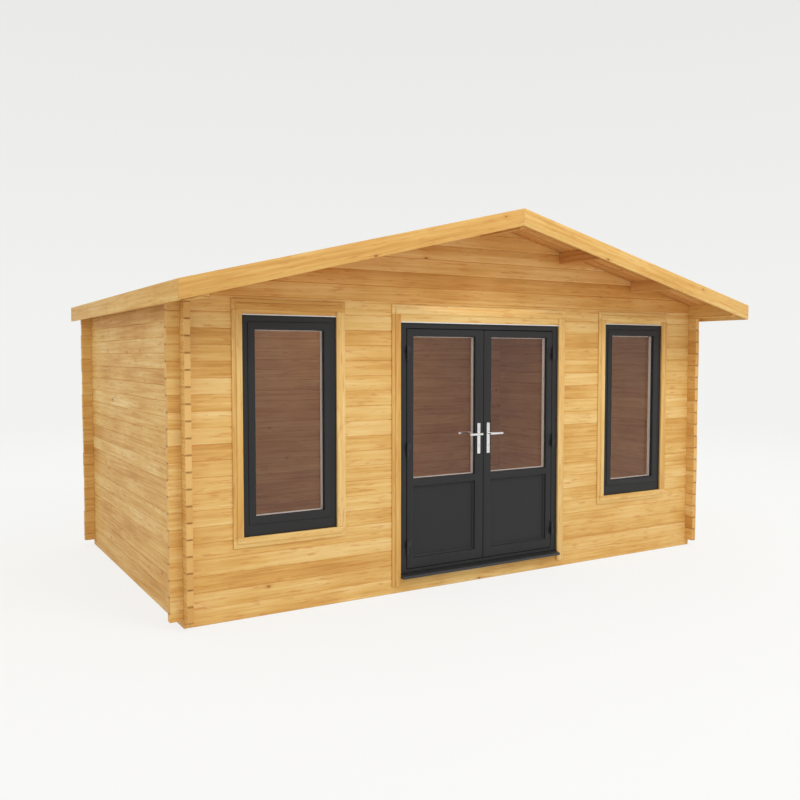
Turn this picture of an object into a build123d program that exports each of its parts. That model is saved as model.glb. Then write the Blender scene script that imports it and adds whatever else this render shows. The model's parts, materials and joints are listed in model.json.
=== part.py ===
from build123d import *
import math
import os

os.makedirs("parts", exist_ok=True)

# Garden cabin of interlocking logs, in millimetres, +Z up, front towards -Y.
# The origin is on the ground under the middle of the roof's outline.

# Logs
log_thick = 44.0
log_cover = 109.0
log_bevel = 5.0
corner_arm = 90.0
notch_gap = 1.0
notch_share = 0.25
half_course_share = 0.5

# Plan of the walls
cabin_width = 5000.0
wall_depth = 2886.0

# Heights counted in courses of logs
door_sill_courses = 1
window_sill_courses = 5
opening_head_courses = 19
eaves_courses = 20

# Roof
roof_pitch_deg = 13.8
eaves_overhang = 130.0
front_overhang = 480.0
back_overhang = 92.0
deck_thick = 19.0
felt_thick = 4.0
board_thick = 18.0
board_height = 126.0
board_upstand = 6.0
purlin_thick = 44.0
purlin_height = 95.0
ridge_purlin_height = 120.0
purlin_shares = (0.332, 0.678)

# Floor
joist_thick = 44.0
joist_height = 58.0
joist_count = 9
floor_thick = 19.0
floor_gap = 4.0

# Openings and their trims
frame_gap = 3.0
settle_gap = 7.0
trim_thick = 18.0
trim_width = 71.0
trim_step = 8.0
trim_step_width = 28.0
trim_lap = 12.0
trim_head_rise = 87.0
window_head_lap = 12.0
door_head_lap = 38.0
inner_trim_thick = 16.0
inner_trim_width = 60.0

# Windows
window_shift = 80.0
window_width = 724.0
window_depth = 60.0
window_face = 55.0
window_bottom_face = 91.0
sash_face = 50.0
sash_depth = 56.0
sash_proud = 5.0
glass_thick = 24.0
glass_set_back = 22.0
glass_edge_cover = 12.0
glass_seat_gap = 2.0

# Door frame and sill
door_width = 1536.0
door_depth = 78.0
door_jamb_face = 57.0
door_head_face = 79.0
threshold_height = 30.0
stop_lip = 16.0
stop_thick = 12.0
sill_height = 28.0
sill_nose = 55.0
sill_fall = 8.0

# Door leaves
leaf_depth = 60.0
leaf_gap = 6.0
meeting_gap = 14.0
hinge_stile = 55.0
meeting_stile = 70.0
top_rail = 50.0
mid_rail = 52.0
bottom_rail = 78.0
panel_height = 547.0

# Handles
plate_width = 30.0
plate_height = 243.0
plate_thick = 10.0
plate_edge = 39.0
plate_middle_height = 1130.0
lever_rise = 37.0
lever_length = 125.0
lever_height = 20.0
lever_thick = 13.0
lever_stand_off = 34.0
spindle_radius = 8.0
spindle_fit = 0.4
spindle_room = 2.0
spindle_hole_sides = 12

# Hinges
hinge_radius = 9.0
hinge_set_off = 16.0
hinge_height = 100.0
hinge_slot = 1.0
hinge_sides = 12
hinge_pin_radius = 4.5
hinge_pin_fit = 0.3
hinge_pin_sides = 8
hinge_plate_thick = 3.0
hinge_plate_width = 36.0
hinge_web_thick = 6.0
hinge_web_gap = 2.0
hinge_shares = (0.09, 0.5, 0.90)

# One overrun for every cut
cut_over = 20.0

# Worked out from the sizes above
slope = math.tan(math.radians(roof_pitch_deg))
half_width = cabin_width / 2
side_x = half_width - corner_arm
side_mid_x = side_x - log_thick / 2
roof_depth = front_overhang + wall_depth + back_overhang + 2 * board_thick
roof_front = -roof_depth / 2
roof_back = roof_depth / 2
deck_front = roof_front + board_thick
deck_back = roof_back - board_thick
front_y = deck_front + front_overhang
back_y = front_y + wall_depth
front_inner_y = front_y + log_thick
back_inner_y = back_y - log_thick
eaves_z = (eaves_courses + half_course_share) * log_cover
eaves_x = side_x + eaves_overhang
fascia_x = eaves_x + board_thick
ridge_z = eaves_z + slope * side_x
deck_rise = deck_thick / math.cos(math.radians(roof_pitch_deg))
felt_rise = felt_thick / math.cos(math.radians(roof_pitch_deg))
board_top_z = ridge_z + deck_rise + felt_rise + board_upstand
gable_courses = math.ceil(ridge_z / log_cover)
notch_height = (1 + 2 * notch_share) * log_cover
notch_width = log_thick + 2 * notch_gap
arm_lift = half_course_share * log_cover
arm_cut = corner_arm + cut_over
arm_cut_x = side_x + arm_cut / 2
purlin_xs = [share * side_x for share in purlin_shares]
door_sill_z = door_sill_courses * log_cover
window_sill_z = window_sill_courses * log_cover
head_z = opening_head_courses * log_cover
frame_top_z = head_z - settle_gap
trim_top_z = head_z + trim_head_rise
side_inner_x = side_x - log_thick
door_half = door_width / 2
window_offset = (door_half + side_inner_x) / 2 + window_shift


def log_outline(outer, inner, low, high):
    """Points of one log's section, bevelled outside at top and bottom and inside at the bottom."""
    inward = math.copysign(log_bevel, inner - outer)
    return [
        (outer + inward, low),
        (inner - inward, low),
        (inner, low + log_bevel),
        (inner, high),
        (outer + inward, high),
        (outer, high - log_bevel),
        (outer, low + log_bevel),
    ]


def roof_underside(x):
    """Height of the underside of the roof boards at a distance from the ridge."""
    return ridge_z - slope * abs(x)


# Everything above the underside of the roof boards, as an outline across the cabin
above_roof = [
    (-fascia_x, roof_underside(fascia_x)),
    (0, ridge_z),
    (fascia_x, roof_underside(fascia_x)),
    (fascia_x, board_top_z + board_height),
    (-fascia_x, board_top_z + board_height),
]

# Front and back walls: full logs from the ground, odd and even courses in turn
for wall, outer_y, inner_y in (("front", front_y, front_inner_y), ("back", back_y, back_inner_y)):
    wall_mid_y = (outer_y + inner_y) / 2
    for turn, first in (("odd", 1), ("even", 2)):
        courses = range(first, gable_courses + 1, 2)
        with BuildPart() as wall_logs:
            with BuildSketch(Plane.YZ.offset(-half_width)):
                for course in courses:
                    Polygon(
                        *log_outline(
                            outer_y,
                            inner_y,
                            (course - 1) * log_cover,
                            course * log_cover,
                        ),
                        align=None,
                    )
            extrude(amount=cabin_width)
            # Notches where the side walls cross
            notch_centres = []
            for course in range(first, eaves_courses + 4, 2):
                notch_z = (course - 1 - half_course_share) * log_cover
                notch_centres += [(end * side_mid_x, wall_mid_y, notch_z) for end in (-1, 1)]
            with Locations(*notch_centres):
                Box(notch_width, log_thick + 2 * cut_over, notch_height, mode=Mode.SUBTRACT)
            if first == 1:
                # The lowest log's arms are cut clear of the ground
                with Locations(
                    (-arm_cut_x, wall_mid_y, arm_lift / 2),
                    (arm_cut_x, wall_mid_y, arm_lift / 2),
                ):
                    Box(arm_cut, log_thick + 2 * cut_over, arm_lift, mode=Mode.SUBTRACT)
            if wall == "front":
                # Doorway and windows
                with Locations((0, wall_mid_y, door_sill_z)):
                    Box(
                        door_width + 2 * frame_gap,
                        log_thick + 2 * cut_over,
                        head_z - door_sill_z,
                        align=(Align.CENTER, Align.CENTER, Align.MIN),
                        mode=Mode.SUBTRACT,
                    )
                with Locations(
                    (-window_offset, wall_mid_y, window_sill_z),
                    (window_offset, wall_mid_y, window_sill_z),
                ):
                    Box(
                        window_width + 2 * frame_gap,
                        log_thick + 2 * cut_over,
                        head_z - window_sill_z,
                        align=(Align.CENTER, Align.CENTER, Align.MIN),
                        mode=Mode.SUBTRACT,
                    )
            # Seats for the purlins
            seats = [(0, wall_mid_y, ridge_z - ridge_purlin_height)]
            for x in purlin_xs:
                seat_z = roof_underside(x - purlin_thick / 2) - purlin_height
                seats += [(end * x, wall_mid_y, seat_z) for end in (-1, 1)]
            with Locations(*seats):
                Box(
                    purlin_thick + 2 * notch_gap,
                    log_thick + 2 * cut_over,
                    ridge_purlin_height + cut_over,
                    align=(Align.CENTER, Align.CENTER, Align.MIN),
                    mode=Mode.SUBTRACT,
                )
            # Gable slopes
            with BuildSketch(Plane.XZ.offset(-roof_back)):
                Polygon(*above_roof, align=None)
            extrude(amount=roof_depth, mode=Mode.SUBTRACT)
        wall_logs.part.label = f"{wall}_wall_{turn}_logs"
        export_step(wall_logs.part, f"parts/{wall}_wall_{turn}_logs.step")

# Side walls: a half log first, so that their courses sit half a log higher
for wall, outer_x, inner_x in (("left", -side_x, -side_inner_x), ("right", side_x, side_inner_x)):
    wall_mid_x = (outer_x + inner_x) / 2
    for turn, first in (("even", 0), ("odd", 1)):
        with BuildPart() as wall_logs:
            with BuildSketch(Plane.XZ.offset(-(back_y + corner_arm))):
                for course in range(first, eaves_courses, 2):
                    Polygon(
                        *log_outline(
                            outer_x,
                            inner_x,
                            max(0, (course - half_course_share) * log_cover),
                            (course + half_course_share) * log_cover,
                        ),
                        align=None,
                    )
            extrude(amount=wall_depth + 2 * corner_arm)
            if eaves_courses % 2 == first:
                # The top log runs on under the roof's overhang to both end boards
                with BuildSketch(Plane.XZ.offset(-deck_back)):
                    Polygon(
                        *log_outline(
                            outer_x,
                            inner_x,
                            (eaves_courses - half_course_share) * log_cover,
                            (eaves_courses + 1) * log_cover,
                        ),
                        align=None,
                    )
                extrude(amount=deck_back - deck_front)
            notch_centres = [
                (wall_mid_x, y, (course - 1) * log_cover)
                for course in range(first, eaves_courses + 3, 2)
                for y in (front_y + log_thick / 2, back_y - log_thick / 2)
            ]
            with Locations(*notch_centres):
                Box(log_thick + 2 * cut_over, notch_width, notch_height, mode=Mode.SUBTRACT)
            if first == 0:
                # The half log has no arms
                with Locations(
                    (wall_mid_x, front_y - arm_cut / 2, arm_lift / 2),
                    (wall_mid_x, back_y + arm_cut / 2, arm_lift / 2),
                ):
                    Box(log_thick + 2 * cut_over, arm_cut, arm_lift, mode=Mode.SUBTRACT)
            with BuildSketch(Plane.XZ.offset(-roof_back)):
                Polygon(*above_roof, align=None)
            extrude(amount=roof_depth, mode=Mode.SUBTRACT)
        wall_logs.part.label = f"{wall}_wall_{turn}_logs"
        export_step(wall_logs.part, f"parts/{wall}_wall_{turn}_logs.step")

# Floor joists on the ground and the boarded floor on them
room_half_width = side_inner_x - floor_gap
room_front = front_inner_y + floor_gap
room_depth = wall_depth - 2 * log_thick - 2 * floor_gap
joist_pitch = (2 * room_half_width - joist_thick) / (joist_count - 1)
with BuildPart() as floor_joists:
    with BuildSketch(Plane.XY):
        with Locations((0, room_front + room_depth / 2)):
            with GridLocations(joist_pitch, room_depth, joist_count, 1):
                Rectangle(joist_thick, room_depth)
    extrude(amount=joist_height)
floor_joists.part.label = "floor_joists"
export_step(floor_joists.part, "parts/floor_joists.step")

with BuildPart() as floor_boards:
    with BuildSketch(Plane.XY.offset(joist_height)):
        with Locations((0, room_front + room_depth / 2)):
            Rectangle(2 * room_half_width, room_depth)
    extrude(amount=floor_thick)
floor_boards.part.label = "floor_boards"
export_step(floor_boards.part, "parts/floor_boards.step")

# Purlins from end board to end board, their tops cut to the slope
with BuildPart() as ridge_purlin:
    with BuildSketch(Plane.XZ.offset(-deck_back)):
        Polygon(
            (-purlin_thick / 2, ridge_z - ridge_purlin_height),
            (purlin_thick / 2, ridge_z - ridge_purlin_height),
            (purlin_thick / 2, roof_underside(purlin_thick / 2)),
            (0, ridge_z),
            (-purlin_thick / 2, roof_underside(purlin_thick / 2)),
            align=None,
        )
    extrude(amount=deck_back - deck_front)
ridge_purlin.part.label = "ridge_purlin"
export_step(ridge_purlin.part, "parts/ridge_purlin.step")

for side, sign in (("left", -1), ("right", 1)):
    with BuildPart() as purlins:
        with BuildSketch(Plane.XZ.offset(-deck_back)):
            for x in purlin_xs:
                near = x - purlin_thick / 2
                far = x + purlin_thick / 2
                low = roof_underside(near) - purlin_height
                Polygon(
                    (sign * near, low),
                    (sign * far, low),
                    (sign * far, roof_underside(far)),
                    (sign * near, roof_underside(near)),
                    align=None,
                )
        extrude(amount=deck_back - deck_front)
    purlins.part.label = f"{side}_purlins"
    export_step(purlins.part, f"parts/{side}_purlins.step")

    with BuildPart() as roof_boards:
        with BuildSketch(Plane.XZ.offset(-deck_back)):
            Polygon(
                (0, ridge_z),
                (sign * eaves_x, roof_underside(eaves_x)),
                (sign * eaves_x, roof_underside(eaves_x) + deck_rise),
                (0, ridge_z + deck_rise),
                align=None,
            )
        extrude(amount=deck_back - deck_front)
    roof_boards.part.label = f"{side}_roof_boards"
    export_step(roof_boards.part, f"parts/{side}_roof_boards.step")

    with BuildPart() as roof_felt:
        with BuildSketch(Plane.XZ.offset(-deck_back)):
            Polygon(
                (0, ridge_z + deck_rise),
                (sign * eaves_x, roof_underside(eaves_x) + deck_rise),
                (sign * eaves_x, roof_underside(eaves_x) + deck_rise + felt_rise),
                (0, ridge_z + deck_rise + felt_rise),
                align=None,
            )
        extrude(amount=deck_back - deck_front)
    roof_felt.part.label = f"{side}_roof_felt"
    export_step(roof_felt.part, f"parts/{side}_roof_felt.step")

    # Boards that close the roof's edge at both gables and along the eaves
    for end, plane_y in (("front", deck_front), ("back", roof_back)):
        with BuildPart() as bargeboard:
            with BuildSketch(Plane.XZ.offset(-plane_y)):
                Polygon(
                    (0, board_top_z),
                    (sign * fascia_x, board_top_z - slope * fascia_x),
                    (sign * fascia_x, board_top_z - slope * fascia_x - board_height),
                    (0, board_top_z - board_height),
                    align=None,
                )
            extrude(amount=board_thick)
        bargeboard.part.label = f"{end}_{side}_bargeboard"
        export_step(bargeboard.part, f"parts/{end}_{side}_bargeboard.step")

    with BuildPart() as eaves_fascia:
        with BuildSketch(Plane.XZ.offset(-deck_back)):
            Polygon(
                (sign * eaves_x, board_top_z - slope * fascia_x - board_height),
                (sign * fascia_x, board_top_z - slope * fascia_x - board_height),
                (sign * fascia_x, board_top_z - slope * fascia_x),
                (sign * eaves_x, board_top_z - slope * eaves_x),
                align=None,
            )
        extrude(amount=deck_back - deck_front)
    eaves_fascia.part.label = f"{side}_eaves_fascia"
    export_step(eaves_fascia.part, f"parts/{side}_eaves_fascia.step")

# Windows: fixed frame, sash and sealed glass on each side of the door
frame_height = frame_top_z - window_sill_z
sash_width = window_width - 2 * window_face
sash_low_z = window_sill_z + window_bottom_face
sash_height = frame_top_z - window_face - sash_low_z
window_front_y = front_y
sash_front_y = window_front_y - sash_proud
glass_front_y = front_y + glass_set_back
pane_width = sash_width - 2 * sash_face
pane_height = sash_height - 2 * sash_face
for side, sign in (("left", -1), ("right", 1)):
    window_x = sign * window_offset
    with BuildPart() as window_frame:
        with BuildSketch(Plane.XZ.offset(-(window_front_y + window_depth))):
            with Locations((window_x, window_sill_z + frame_height / 2)):
                Rectangle(window_width, frame_height)
            with Locations((window_x, sash_low_z + sash_height / 2)):
                Rectangle(sash_width, sash_height, mode=Mode.SUBTRACT)
        extrude(amount=window_depth)
    window_frame.part.label = f"{side}_window_frame"
    export_step(window_frame.part, f"parts/{side}_window_frame.step")

    with BuildPart() as window_sash:
        with BuildSketch(Plane.XZ.offset(-(sash_front_y + sash_depth))):
            with Locations((window_x, sash_low_z + sash_height / 2)):
                Rectangle(sash_width, sash_height)
                Rectangle(pane_width, pane_height, mode=Mode.SUBTRACT)
        extrude(amount=sash_depth)
        # Groove that holds the glass
        with Locations((window_x, glass_front_y + glass_thick / 2, sash_low_z + sash_height / 2)):
            Box(
                pane_width + 2 * glass_edge_cover,
                glass_thick,
                pane_height + 2 * glass_edge_cover,
                mode=Mode.SUBTRACT,
            )
    window_sash.part.label = f"{side}_window_sash"
    export_step(window_sash.part, f"parts/{side}_window_sash.step")

    with BuildPart() as window_glass:
        with Locations((window_x, glass_front_y + glass_thick / 2, sash_low_z + sash_height / 2)):
            Box(
                pane_width + 2 * glass_edge_cover - 2 * glass_seat_gap,
                glass_thick,
                pane_height + 2 * glass_edge_cover - 2 * glass_seat_gap,
            )
    window_glass.part.label = f"{side}_window_glass"
    export_step(window_glass.part, f"parts/{side}_window_glass.step")

# Trim boards round the openings, outside and inside
window_low_z = window_sill_z + trim_lap
window_high_z = frame_top_z - window_head_lap
sill_top_z = door_sill_z + sill_height
door_high_z = frame_top_z - door_head_lap
window_half = window_width / 2
outer_half = window_half - trim_lap + trim_width
door_outer = door_half + trim_width
inner_near = window_half + frame_gap
inner_top_z = head_z + frame_gap
trim_foot_z = half_course_share * log_cover
head_low_z = trim_top_z - trim_width
raised_width = trim_width - trim_step_width
base_thick = trim_thick - trim_step
with BuildPart() as trim_uprights:
    # The whole width first, then the raised part next to the frame
    with BuildSketch(Plane.XZ.offset(-front_y)):
        for sign in (-1, 1):
            for edge in (-1, 1):
                x = sign * window_offset + edge * (outer_half - trim_width / 2)
                with Locations((x, (window_low_z + head_low_z) / 2)):
                    Rectangle(trim_width, head_low_z - window_low_z)
            with Locations((sign * (door_half + trim_width / 2), (trim_foot_z + head_low_z) / 2)):
                Rectangle(trim_width, head_low_z - trim_foot_z)
    extrude(amount=base_thick)
    with BuildSketch(Plane.XZ.offset(-front_y)):
        for sign in (-1, 1):
            for edge in (-1, 1):
                x = sign * window_offset + edge * (outer_half - trim_width + raised_width / 2)
                with Locations((x, (window_low_z + head_low_z) / 2)):
                    Rectangle(raised_width, head_low_z - window_low_z)
            with Locations((sign * (door_half + raised_width / 2), (trim_foot_z + head_low_z) / 2)):
                Rectangle(raised_width, head_low_z - trim_foot_z)
    extrude(amount=trim_thick)
    with BuildSketch(Plane.XZ.offset(-(front_inner_y + inner_trim_thick))):
        for sign in (-1, 1):
            for edge in (-1, 1):
                x = sign * window_offset + edge * (inner_near + inner_trim_width / 2)
                with Locations((x, (window_sill_z + inner_top_z) / 2)):
                    Rectangle(inner_trim_width, inner_top_z - window_sill_z)
            x = sign * (door_half + frame_gap + inner_trim_width / 2)
            with Locations((x, (door_sill_z + inner_top_z) / 2)):
                Rectangle(inner_trim_width, inner_top_z - door_sill_z)
    extrude(amount=inner_trim_thick)
trim_uprights.part.label = "trim_uprights"
export_step(trim_uprights.part, "parts/trim_uprights.step")

with BuildPart() as trim_heads:
    # The whole height first, with the thin board that fills down to the frame
    with BuildSketch(Plane.XZ.offset(-front_y)):
        for sign in (-1, 1):
            with Locations((sign * window_offset, (head_low_z + trim_top_z) / 2)):
                Rectangle(2 * outer_half, trim_width)
            with Locations((sign * window_offset, (window_high_z + head_low_z) / 2)):
                Rectangle(2 * (outer_half - trim_width), head_low_z - window_high_z)
        with Locations((0, (head_low_z + trim_top_z) / 2)):
            Rectangle(2 * door_outer, trim_width)
        with Locations((0, (door_high_z + head_low_z) / 2)):
            Rectangle(2 * door_half, head_low_z - door_high_z)
    extrude(amount=base_thick)
    with BuildSketch(Plane.XZ.offset(-front_y)):
        for sign in (-1, 1):
            with Locations((sign * window_offset, head_low_z + raised_width / 2)):
                Rectangle(2 * (outer_half - trim_step_width), raised_width)
        with Locations((0, head_low_z + raised_width / 2)):
            Rectangle(2 * (door_outer - trim_step_width), raised_width)
    extrude(amount=trim_thick)
    with BuildSketch(Plane.XZ.offset(-(front_inner_y + inner_trim_thick))):
        for sign in (-1, 1):
            with Locations((sign * window_offset, (inner_top_z + trim_top_z) / 2)):
                Rectangle(2 * (inner_near + inner_trim_width), trim_top_z - inner_top_z)
        with Locations((0, (inner_top_z + trim_top_z) / 2)):
            Rectangle(2 * (door_half + frame_gap + inner_trim_width), trim_top_z - inner_top_z)
    extrude(amount=inner_trim_thick)
trim_heads.part.label = "trim_heads"
export_step(trim_heads.part, "parts/trim_heads.step")

with BuildPart() as trim_aprons:
    with BuildSketch(Plane.XZ.offset(-front_y)):
        for sign in (-1, 1):
            with Locations((sign * window_offset, window_low_z - trim_width / 2)):
                Rectangle(2 * outer_half, trim_width)
    extrude(amount=base_thick)
    with BuildSketch(Plane.XZ.offset(-front_y)):
        for sign in (-1, 1):
            with Locations((sign * window_offset, window_low_z - raised_width / 2)):
                Rectangle(2 * (outer_half - trim_step_width), raised_width)
    extrude(amount=trim_thick)
    with BuildSketch(Plane.XZ.offset(-(front_inner_y + inner_trim_thick))):
        for sign in (-1, 1):
            with Locations((sign * window_offset, window_sill_z - inner_trim_width / 2)):
                Rectangle(2 * (inner_near + inner_trim_width), inner_trim_width)
    extrude(amount=inner_trim_thick)
trim_aprons.part.label = "trim_aprons"
export_step(trim_aprons.part, "parts/trim_aprons.step")

# Door sill on the first log, and the door frame standing on it
with BuildPart() as door_sill:
    with BuildSketch(Plane.YZ.offset(-door_half)):
        Polygon(
            (front_y - sill_nose, door_sill_z),
            (front_y + door_depth, door_sill_z),
            (front_y + door_depth, sill_top_z),
            (front_y - trim_thick, sill_top_z),
            (front_y - sill_nose, sill_top_z - sill_fall),
            align=None,
        )
    extrude(amount=door_width)
door_sill.part.label = "door_sill"
export_step(door_sill.part, "parts/door_sill.step")

jamb_x = door_half - door_jamb_face
frame_low_z = sill_top_z + threshold_height
frame_high_z = frame_top_z - door_head_face
with BuildPart() as door_frame:
    with BuildSketch(Plane.XZ.offset(-(front_y + door_depth))):
        with Locations((0, (sill_top_z + frame_top_z) / 2)):
            Rectangle(door_width, frame_top_z - sill_top_z)
        with Locations((0, (frame_low_z + frame_high_z) / 2)):
            Rectangle(
                2 * (jamb_x - stop_lip),
                frame_high_z - frame_low_z - stop_lip,
                mode=Mode.SUBTRACT,
            )
    extrude(amount=door_depth)
    # The leaves close from outside against the lip left at the back
    with Locations((0, front_y - cut_over, (frame_low_z + frame_high_z) / 2)):
        Box(
            2 * jamb_x,
            cut_over + door_depth - stop_thick,
            frame_high_z - frame_low_z,
            align=(Align.CENTER, Align.MIN, Align.CENTER),
            mode=Mode.SUBTRACT,
        )
door_frame.part.label = "door_frame"
export_step(door_frame.part, "parts/door_frame.step")

# Door leaves, hung at the jambs and opening outwards
leaf_outer_x = jamb_x - leaf_gap
leaf_inner_x = meeting_gap / 2
leaf_low_z = frame_low_z + leaf_gap
leaf_high_z = frame_high_z - leaf_gap
leaf_width = leaf_outer_x - leaf_inner_x
leaf_mid_x = (leaf_outer_x + leaf_inner_x) / 2
light_near = leaf_inner_x + meeting_stile
light_far = leaf_outer_x - hinge_stile
light_width = light_far - light_near
light_mid_x = (light_near + light_far) / 2
panel_low_z = leaf_low_z + bottom_rail
panel_high_z = panel_low_z + panel_height
light_low_z = panel_high_z + mid_rail
light_high_z = leaf_high_z - top_rail
light_height = light_high_z - light_low_z
light_mid_z = (light_low_z + light_high_z) / 2
panel_mid_z = (panel_low_z + panel_high_z) / 2
glass_mid_y = glass_front_y + glass_thick / 2
leaf_mid_y = front_y + leaf_depth / 2
plate_x = leaf_inner_x + plate_edge
spindle_z = plate_middle_height + lever_rise
spindle_slot = 2 * (spindle_radius + spindle_room)
lever_front_y = front_y - plate_thick - lever_stand_off - lever_thick
lever_back_y = front_y + leaf_depth + plate_thick + lever_stand_off + lever_thick
hinge_x = jamb_x - leaf_gap / 2
hinge_y = front_y - hinge_set_off
hinge_zs = [leaf_low_z + share * (leaf_high_z - leaf_low_z) for share in hinge_shares]
knuckle_height = (hinge_height - hinge_slot) / 2
hinge_web_y = (hinge_y + front_y) / 2
hinge_plate_y = front_y - hinge_plate_thick / 2
for side, sign in (("left", -1), ("right", 1)):
    with BuildPart() as leaf_frame:
        with BuildSketch(Plane.XZ.offset(-(front_y + leaf_depth))):
            with Locations((sign * leaf_mid_x, (leaf_low_z + leaf_high_z) / 2)):
                Rectangle(leaf_width, leaf_high_z - leaf_low_z)
            with Locations((sign * light_mid_x, light_mid_z)):
                Rectangle(light_width, light_height, mode=Mode.SUBTRACT)
            with Locations((sign * light_mid_x, panel_mid_z)):
                Rectangle(light_width, panel_height, mode=Mode.SUBTRACT)
        extrude(amount=leaf_depth)
        # Grooves for the glass and for the lower panel
        with Locations((sign * light_mid_x, glass_mid_y, light_mid_z)):
            Box(
                light_width + 2 * glass_edge_cover,
                glass_thick,
                light_height + 2 * glass_edge_cover,
                mode=Mode.SUBTRACT,
            )
        with Locations((sign * light_mid_x, glass_mid_y, panel_mid_z)):
            Box(
                light_width + 2 * glass_edge_cover,
                glass_thick,
                panel_height + 2 * glass_edge_cover,
                mode=Mode.SUBTRACT,
            )
        # Slot for the handle's spindle, covered by the plates
        with Locations((sign * plate_x, leaf_mid_y, spindle_z)):
            Box(spindle_slot, leaf_depth, spindle_slot, mode=Mode.SUBTRACT)
    leaf_frame.part.label = f"{side}_leaf_frame"
    export_step(leaf_frame.part, f"parts/{side}_leaf_frame.step")

    with BuildPart() as leaf_glass:
        with Locations((sign * light_mid_x, glass_mid_y, light_mid_z)):
            Box(
                light_width + 2 * glass_edge_cover - 2 * glass_seat_gap,
                glass_thick,
                light_height + 2 * glass_edge_cover - 2 * glass_seat_gap,
            )
    leaf_glass.part.label = f"{side}_leaf_glass"
    export_step(leaf_glass.part, f"parts/{side}_leaf_glass.step")

    with BuildPart() as leaf_panel:
        with Locations((sign * light_mid_x, glass_mid_y, panel_mid_z)):
            Box(
                light_width + 2 * glass_edge_cover - 2 * glass_seat_gap,
                glass_thick,
                panel_height + 2 * glass_edge_cover - 2 * glass_seat_gap,
            )
    leaf_panel.part.label = f"{side}_leaf_panel"
    export_step(leaf_panel.part, f"parts/{side}_leaf_panel.step")

    # Handle plates on both faces of the meeting stile
    with BuildPart() as handle_plates:
        with Locations(
            (sign * plate_x, front_y - plate_thick / 2, plate_middle_height),
            (sign * plate_x, front_y + leaf_depth + plate_thick / 2, plate_middle_height),
        ):
            Box(plate_width, plate_thick, plate_height)
        with BuildSketch(Plane.XZ.offset(-(front_y + leaf_depth + plate_thick))):
            with Locations((sign * plate_x, spindle_z)):
                RegularPolygon(spindle_radius + spindle_fit, spindle_hole_sides, major_radius=False)
        extrude(amount=leaf_depth + 2 * plate_thick, mode=Mode.SUBTRACT)
    handle_plates.part.label = f"{side}_handle_plates"
    export_step(handle_plates.part, f"parts/{side}_handle_plates.step")

    # Lever outside, spindle through the leaf and lever inside, turning as one
    with BuildPart() as lever:
        with BuildSketch(Plane.XZ.offset(-lever_back_y)):
            with Locations((sign * plate_x, spindle_z)):
                Circle(spindle_radius)
        extrude(amount=lever_back_y - lever_front_y)
        lever_mid_x = plate_x + lever_length / 2 - lever_height / 2
        with Locations(
            (sign * lever_mid_x, lever_front_y + lever_thick / 2, spindle_z),
            (sign * lever_mid_x, lever_back_y - lever_thick / 2, spindle_z),
        ):
            Box(lever_length, lever_thick, lever_height)
    lever.part.label = f"{side}_lever"
    export_step(lever.part, f"parts/{side}_lever.step")

    # Upper half of each hinge, a sleeve on the leaf
    leaf_web_x = sign * (hinge_x - hinge_web_gap - hinge_web_thick / 2)
    leaf_plate_x = sign * (hinge_x - hinge_web_gap - hinge_plate_width / 2)
    with BuildPart() as leaf_hinges:
        for z in hinge_zs:
            sleeve_z = z + hinge_slot / 2
            with BuildSketch(Plane.XY.offset(sleeve_z)):
                with Locations((sign * hinge_x, hinge_y)):
                    Circle(hinge_radius)
            extrude(amount=knuckle_height)
            with BuildSketch(Plane.XY.offset(sleeve_z)):
                with Locations((leaf_web_x, hinge_web_y)):
                    Rectangle(hinge_web_thick, hinge_set_off)
                with Locations((leaf_plate_x, hinge_plate_y)):
                    Rectangle(hinge_plate_width, hinge_plate_thick)
            extrude(amount=knuckle_height)
            with BuildSketch(Plane.XY.offset(sleeve_z)):
                with Locations((sign * hinge_x, hinge_y)):
                    RegularPolygon(hinge_pin_radius + hinge_pin_fit, hinge_pin_sides, major_radius=False)
            extrude(amount=knuckle_height, mode=Mode.SUBTRACT)
    leaf_hinges.part.label = f"{side}_leaf_hinges"
    export_step(leaf_hinges.part, f"parts/{side}_leaf_hinges.step")

# Lower half of each hinge on the door frame, with the pin that carries the leaf
with BuildPart() as frame_hinges:
    for sign in (-1, 1):
        frame_web_x = sign * (hinge_x + hinge_web_gap + hinge_web_thick / 2)
        frame_plate_x = sign * (hinge_x + hinge_web_gap + hinge_plate_width / 2)
        for z in hinge_zs:
            knuckle_z = z - hinge_slot / 2 - knuckle_height
            with BuildSketch(Plane.XY.offset(knuckle_z)):
                with Locations((sign * hinge_x, hinge_y)):
                    RegularPolygon(hinge_radius, hinge_sides)
            extrude(amount=knuckle_height)
            with BuildSketch(Plane.XY.offset(knuckle_z)):
                with Locations((frame_web_x, hinge_web_y)):
                    Rectangle(hinge_web_thick, hinge_set_off)
                with Locations((frame_plate_x, hinge_plate_y)):
                    Rectangle(hinge_plate_width, hinge_plate_thick)
            extrude(amount=knuckle_height)
            with BuildSketch(Plane.XY.offset(knuckle_z)):
                with Locations((sign * hinge_x, hinge_y)):
                    RegularPolygon(hinge_pin_radius, hinge_pin_sides)
            extrude(amount=hinge_height)
frame_hinges.part.label = "frame_hinges"
export_step(frame_hinges.part, "parts/frame_hinges.step")
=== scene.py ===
"""Looks of the log cabin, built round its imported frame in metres, front towards -Y."""

from __future__ import annotations

import json
import logging
import math
import random
from dataclasses import dataclass
from enum import Enum

import bmesh
import bpy
from mathutils import Euler, Matrix, Vector


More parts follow.
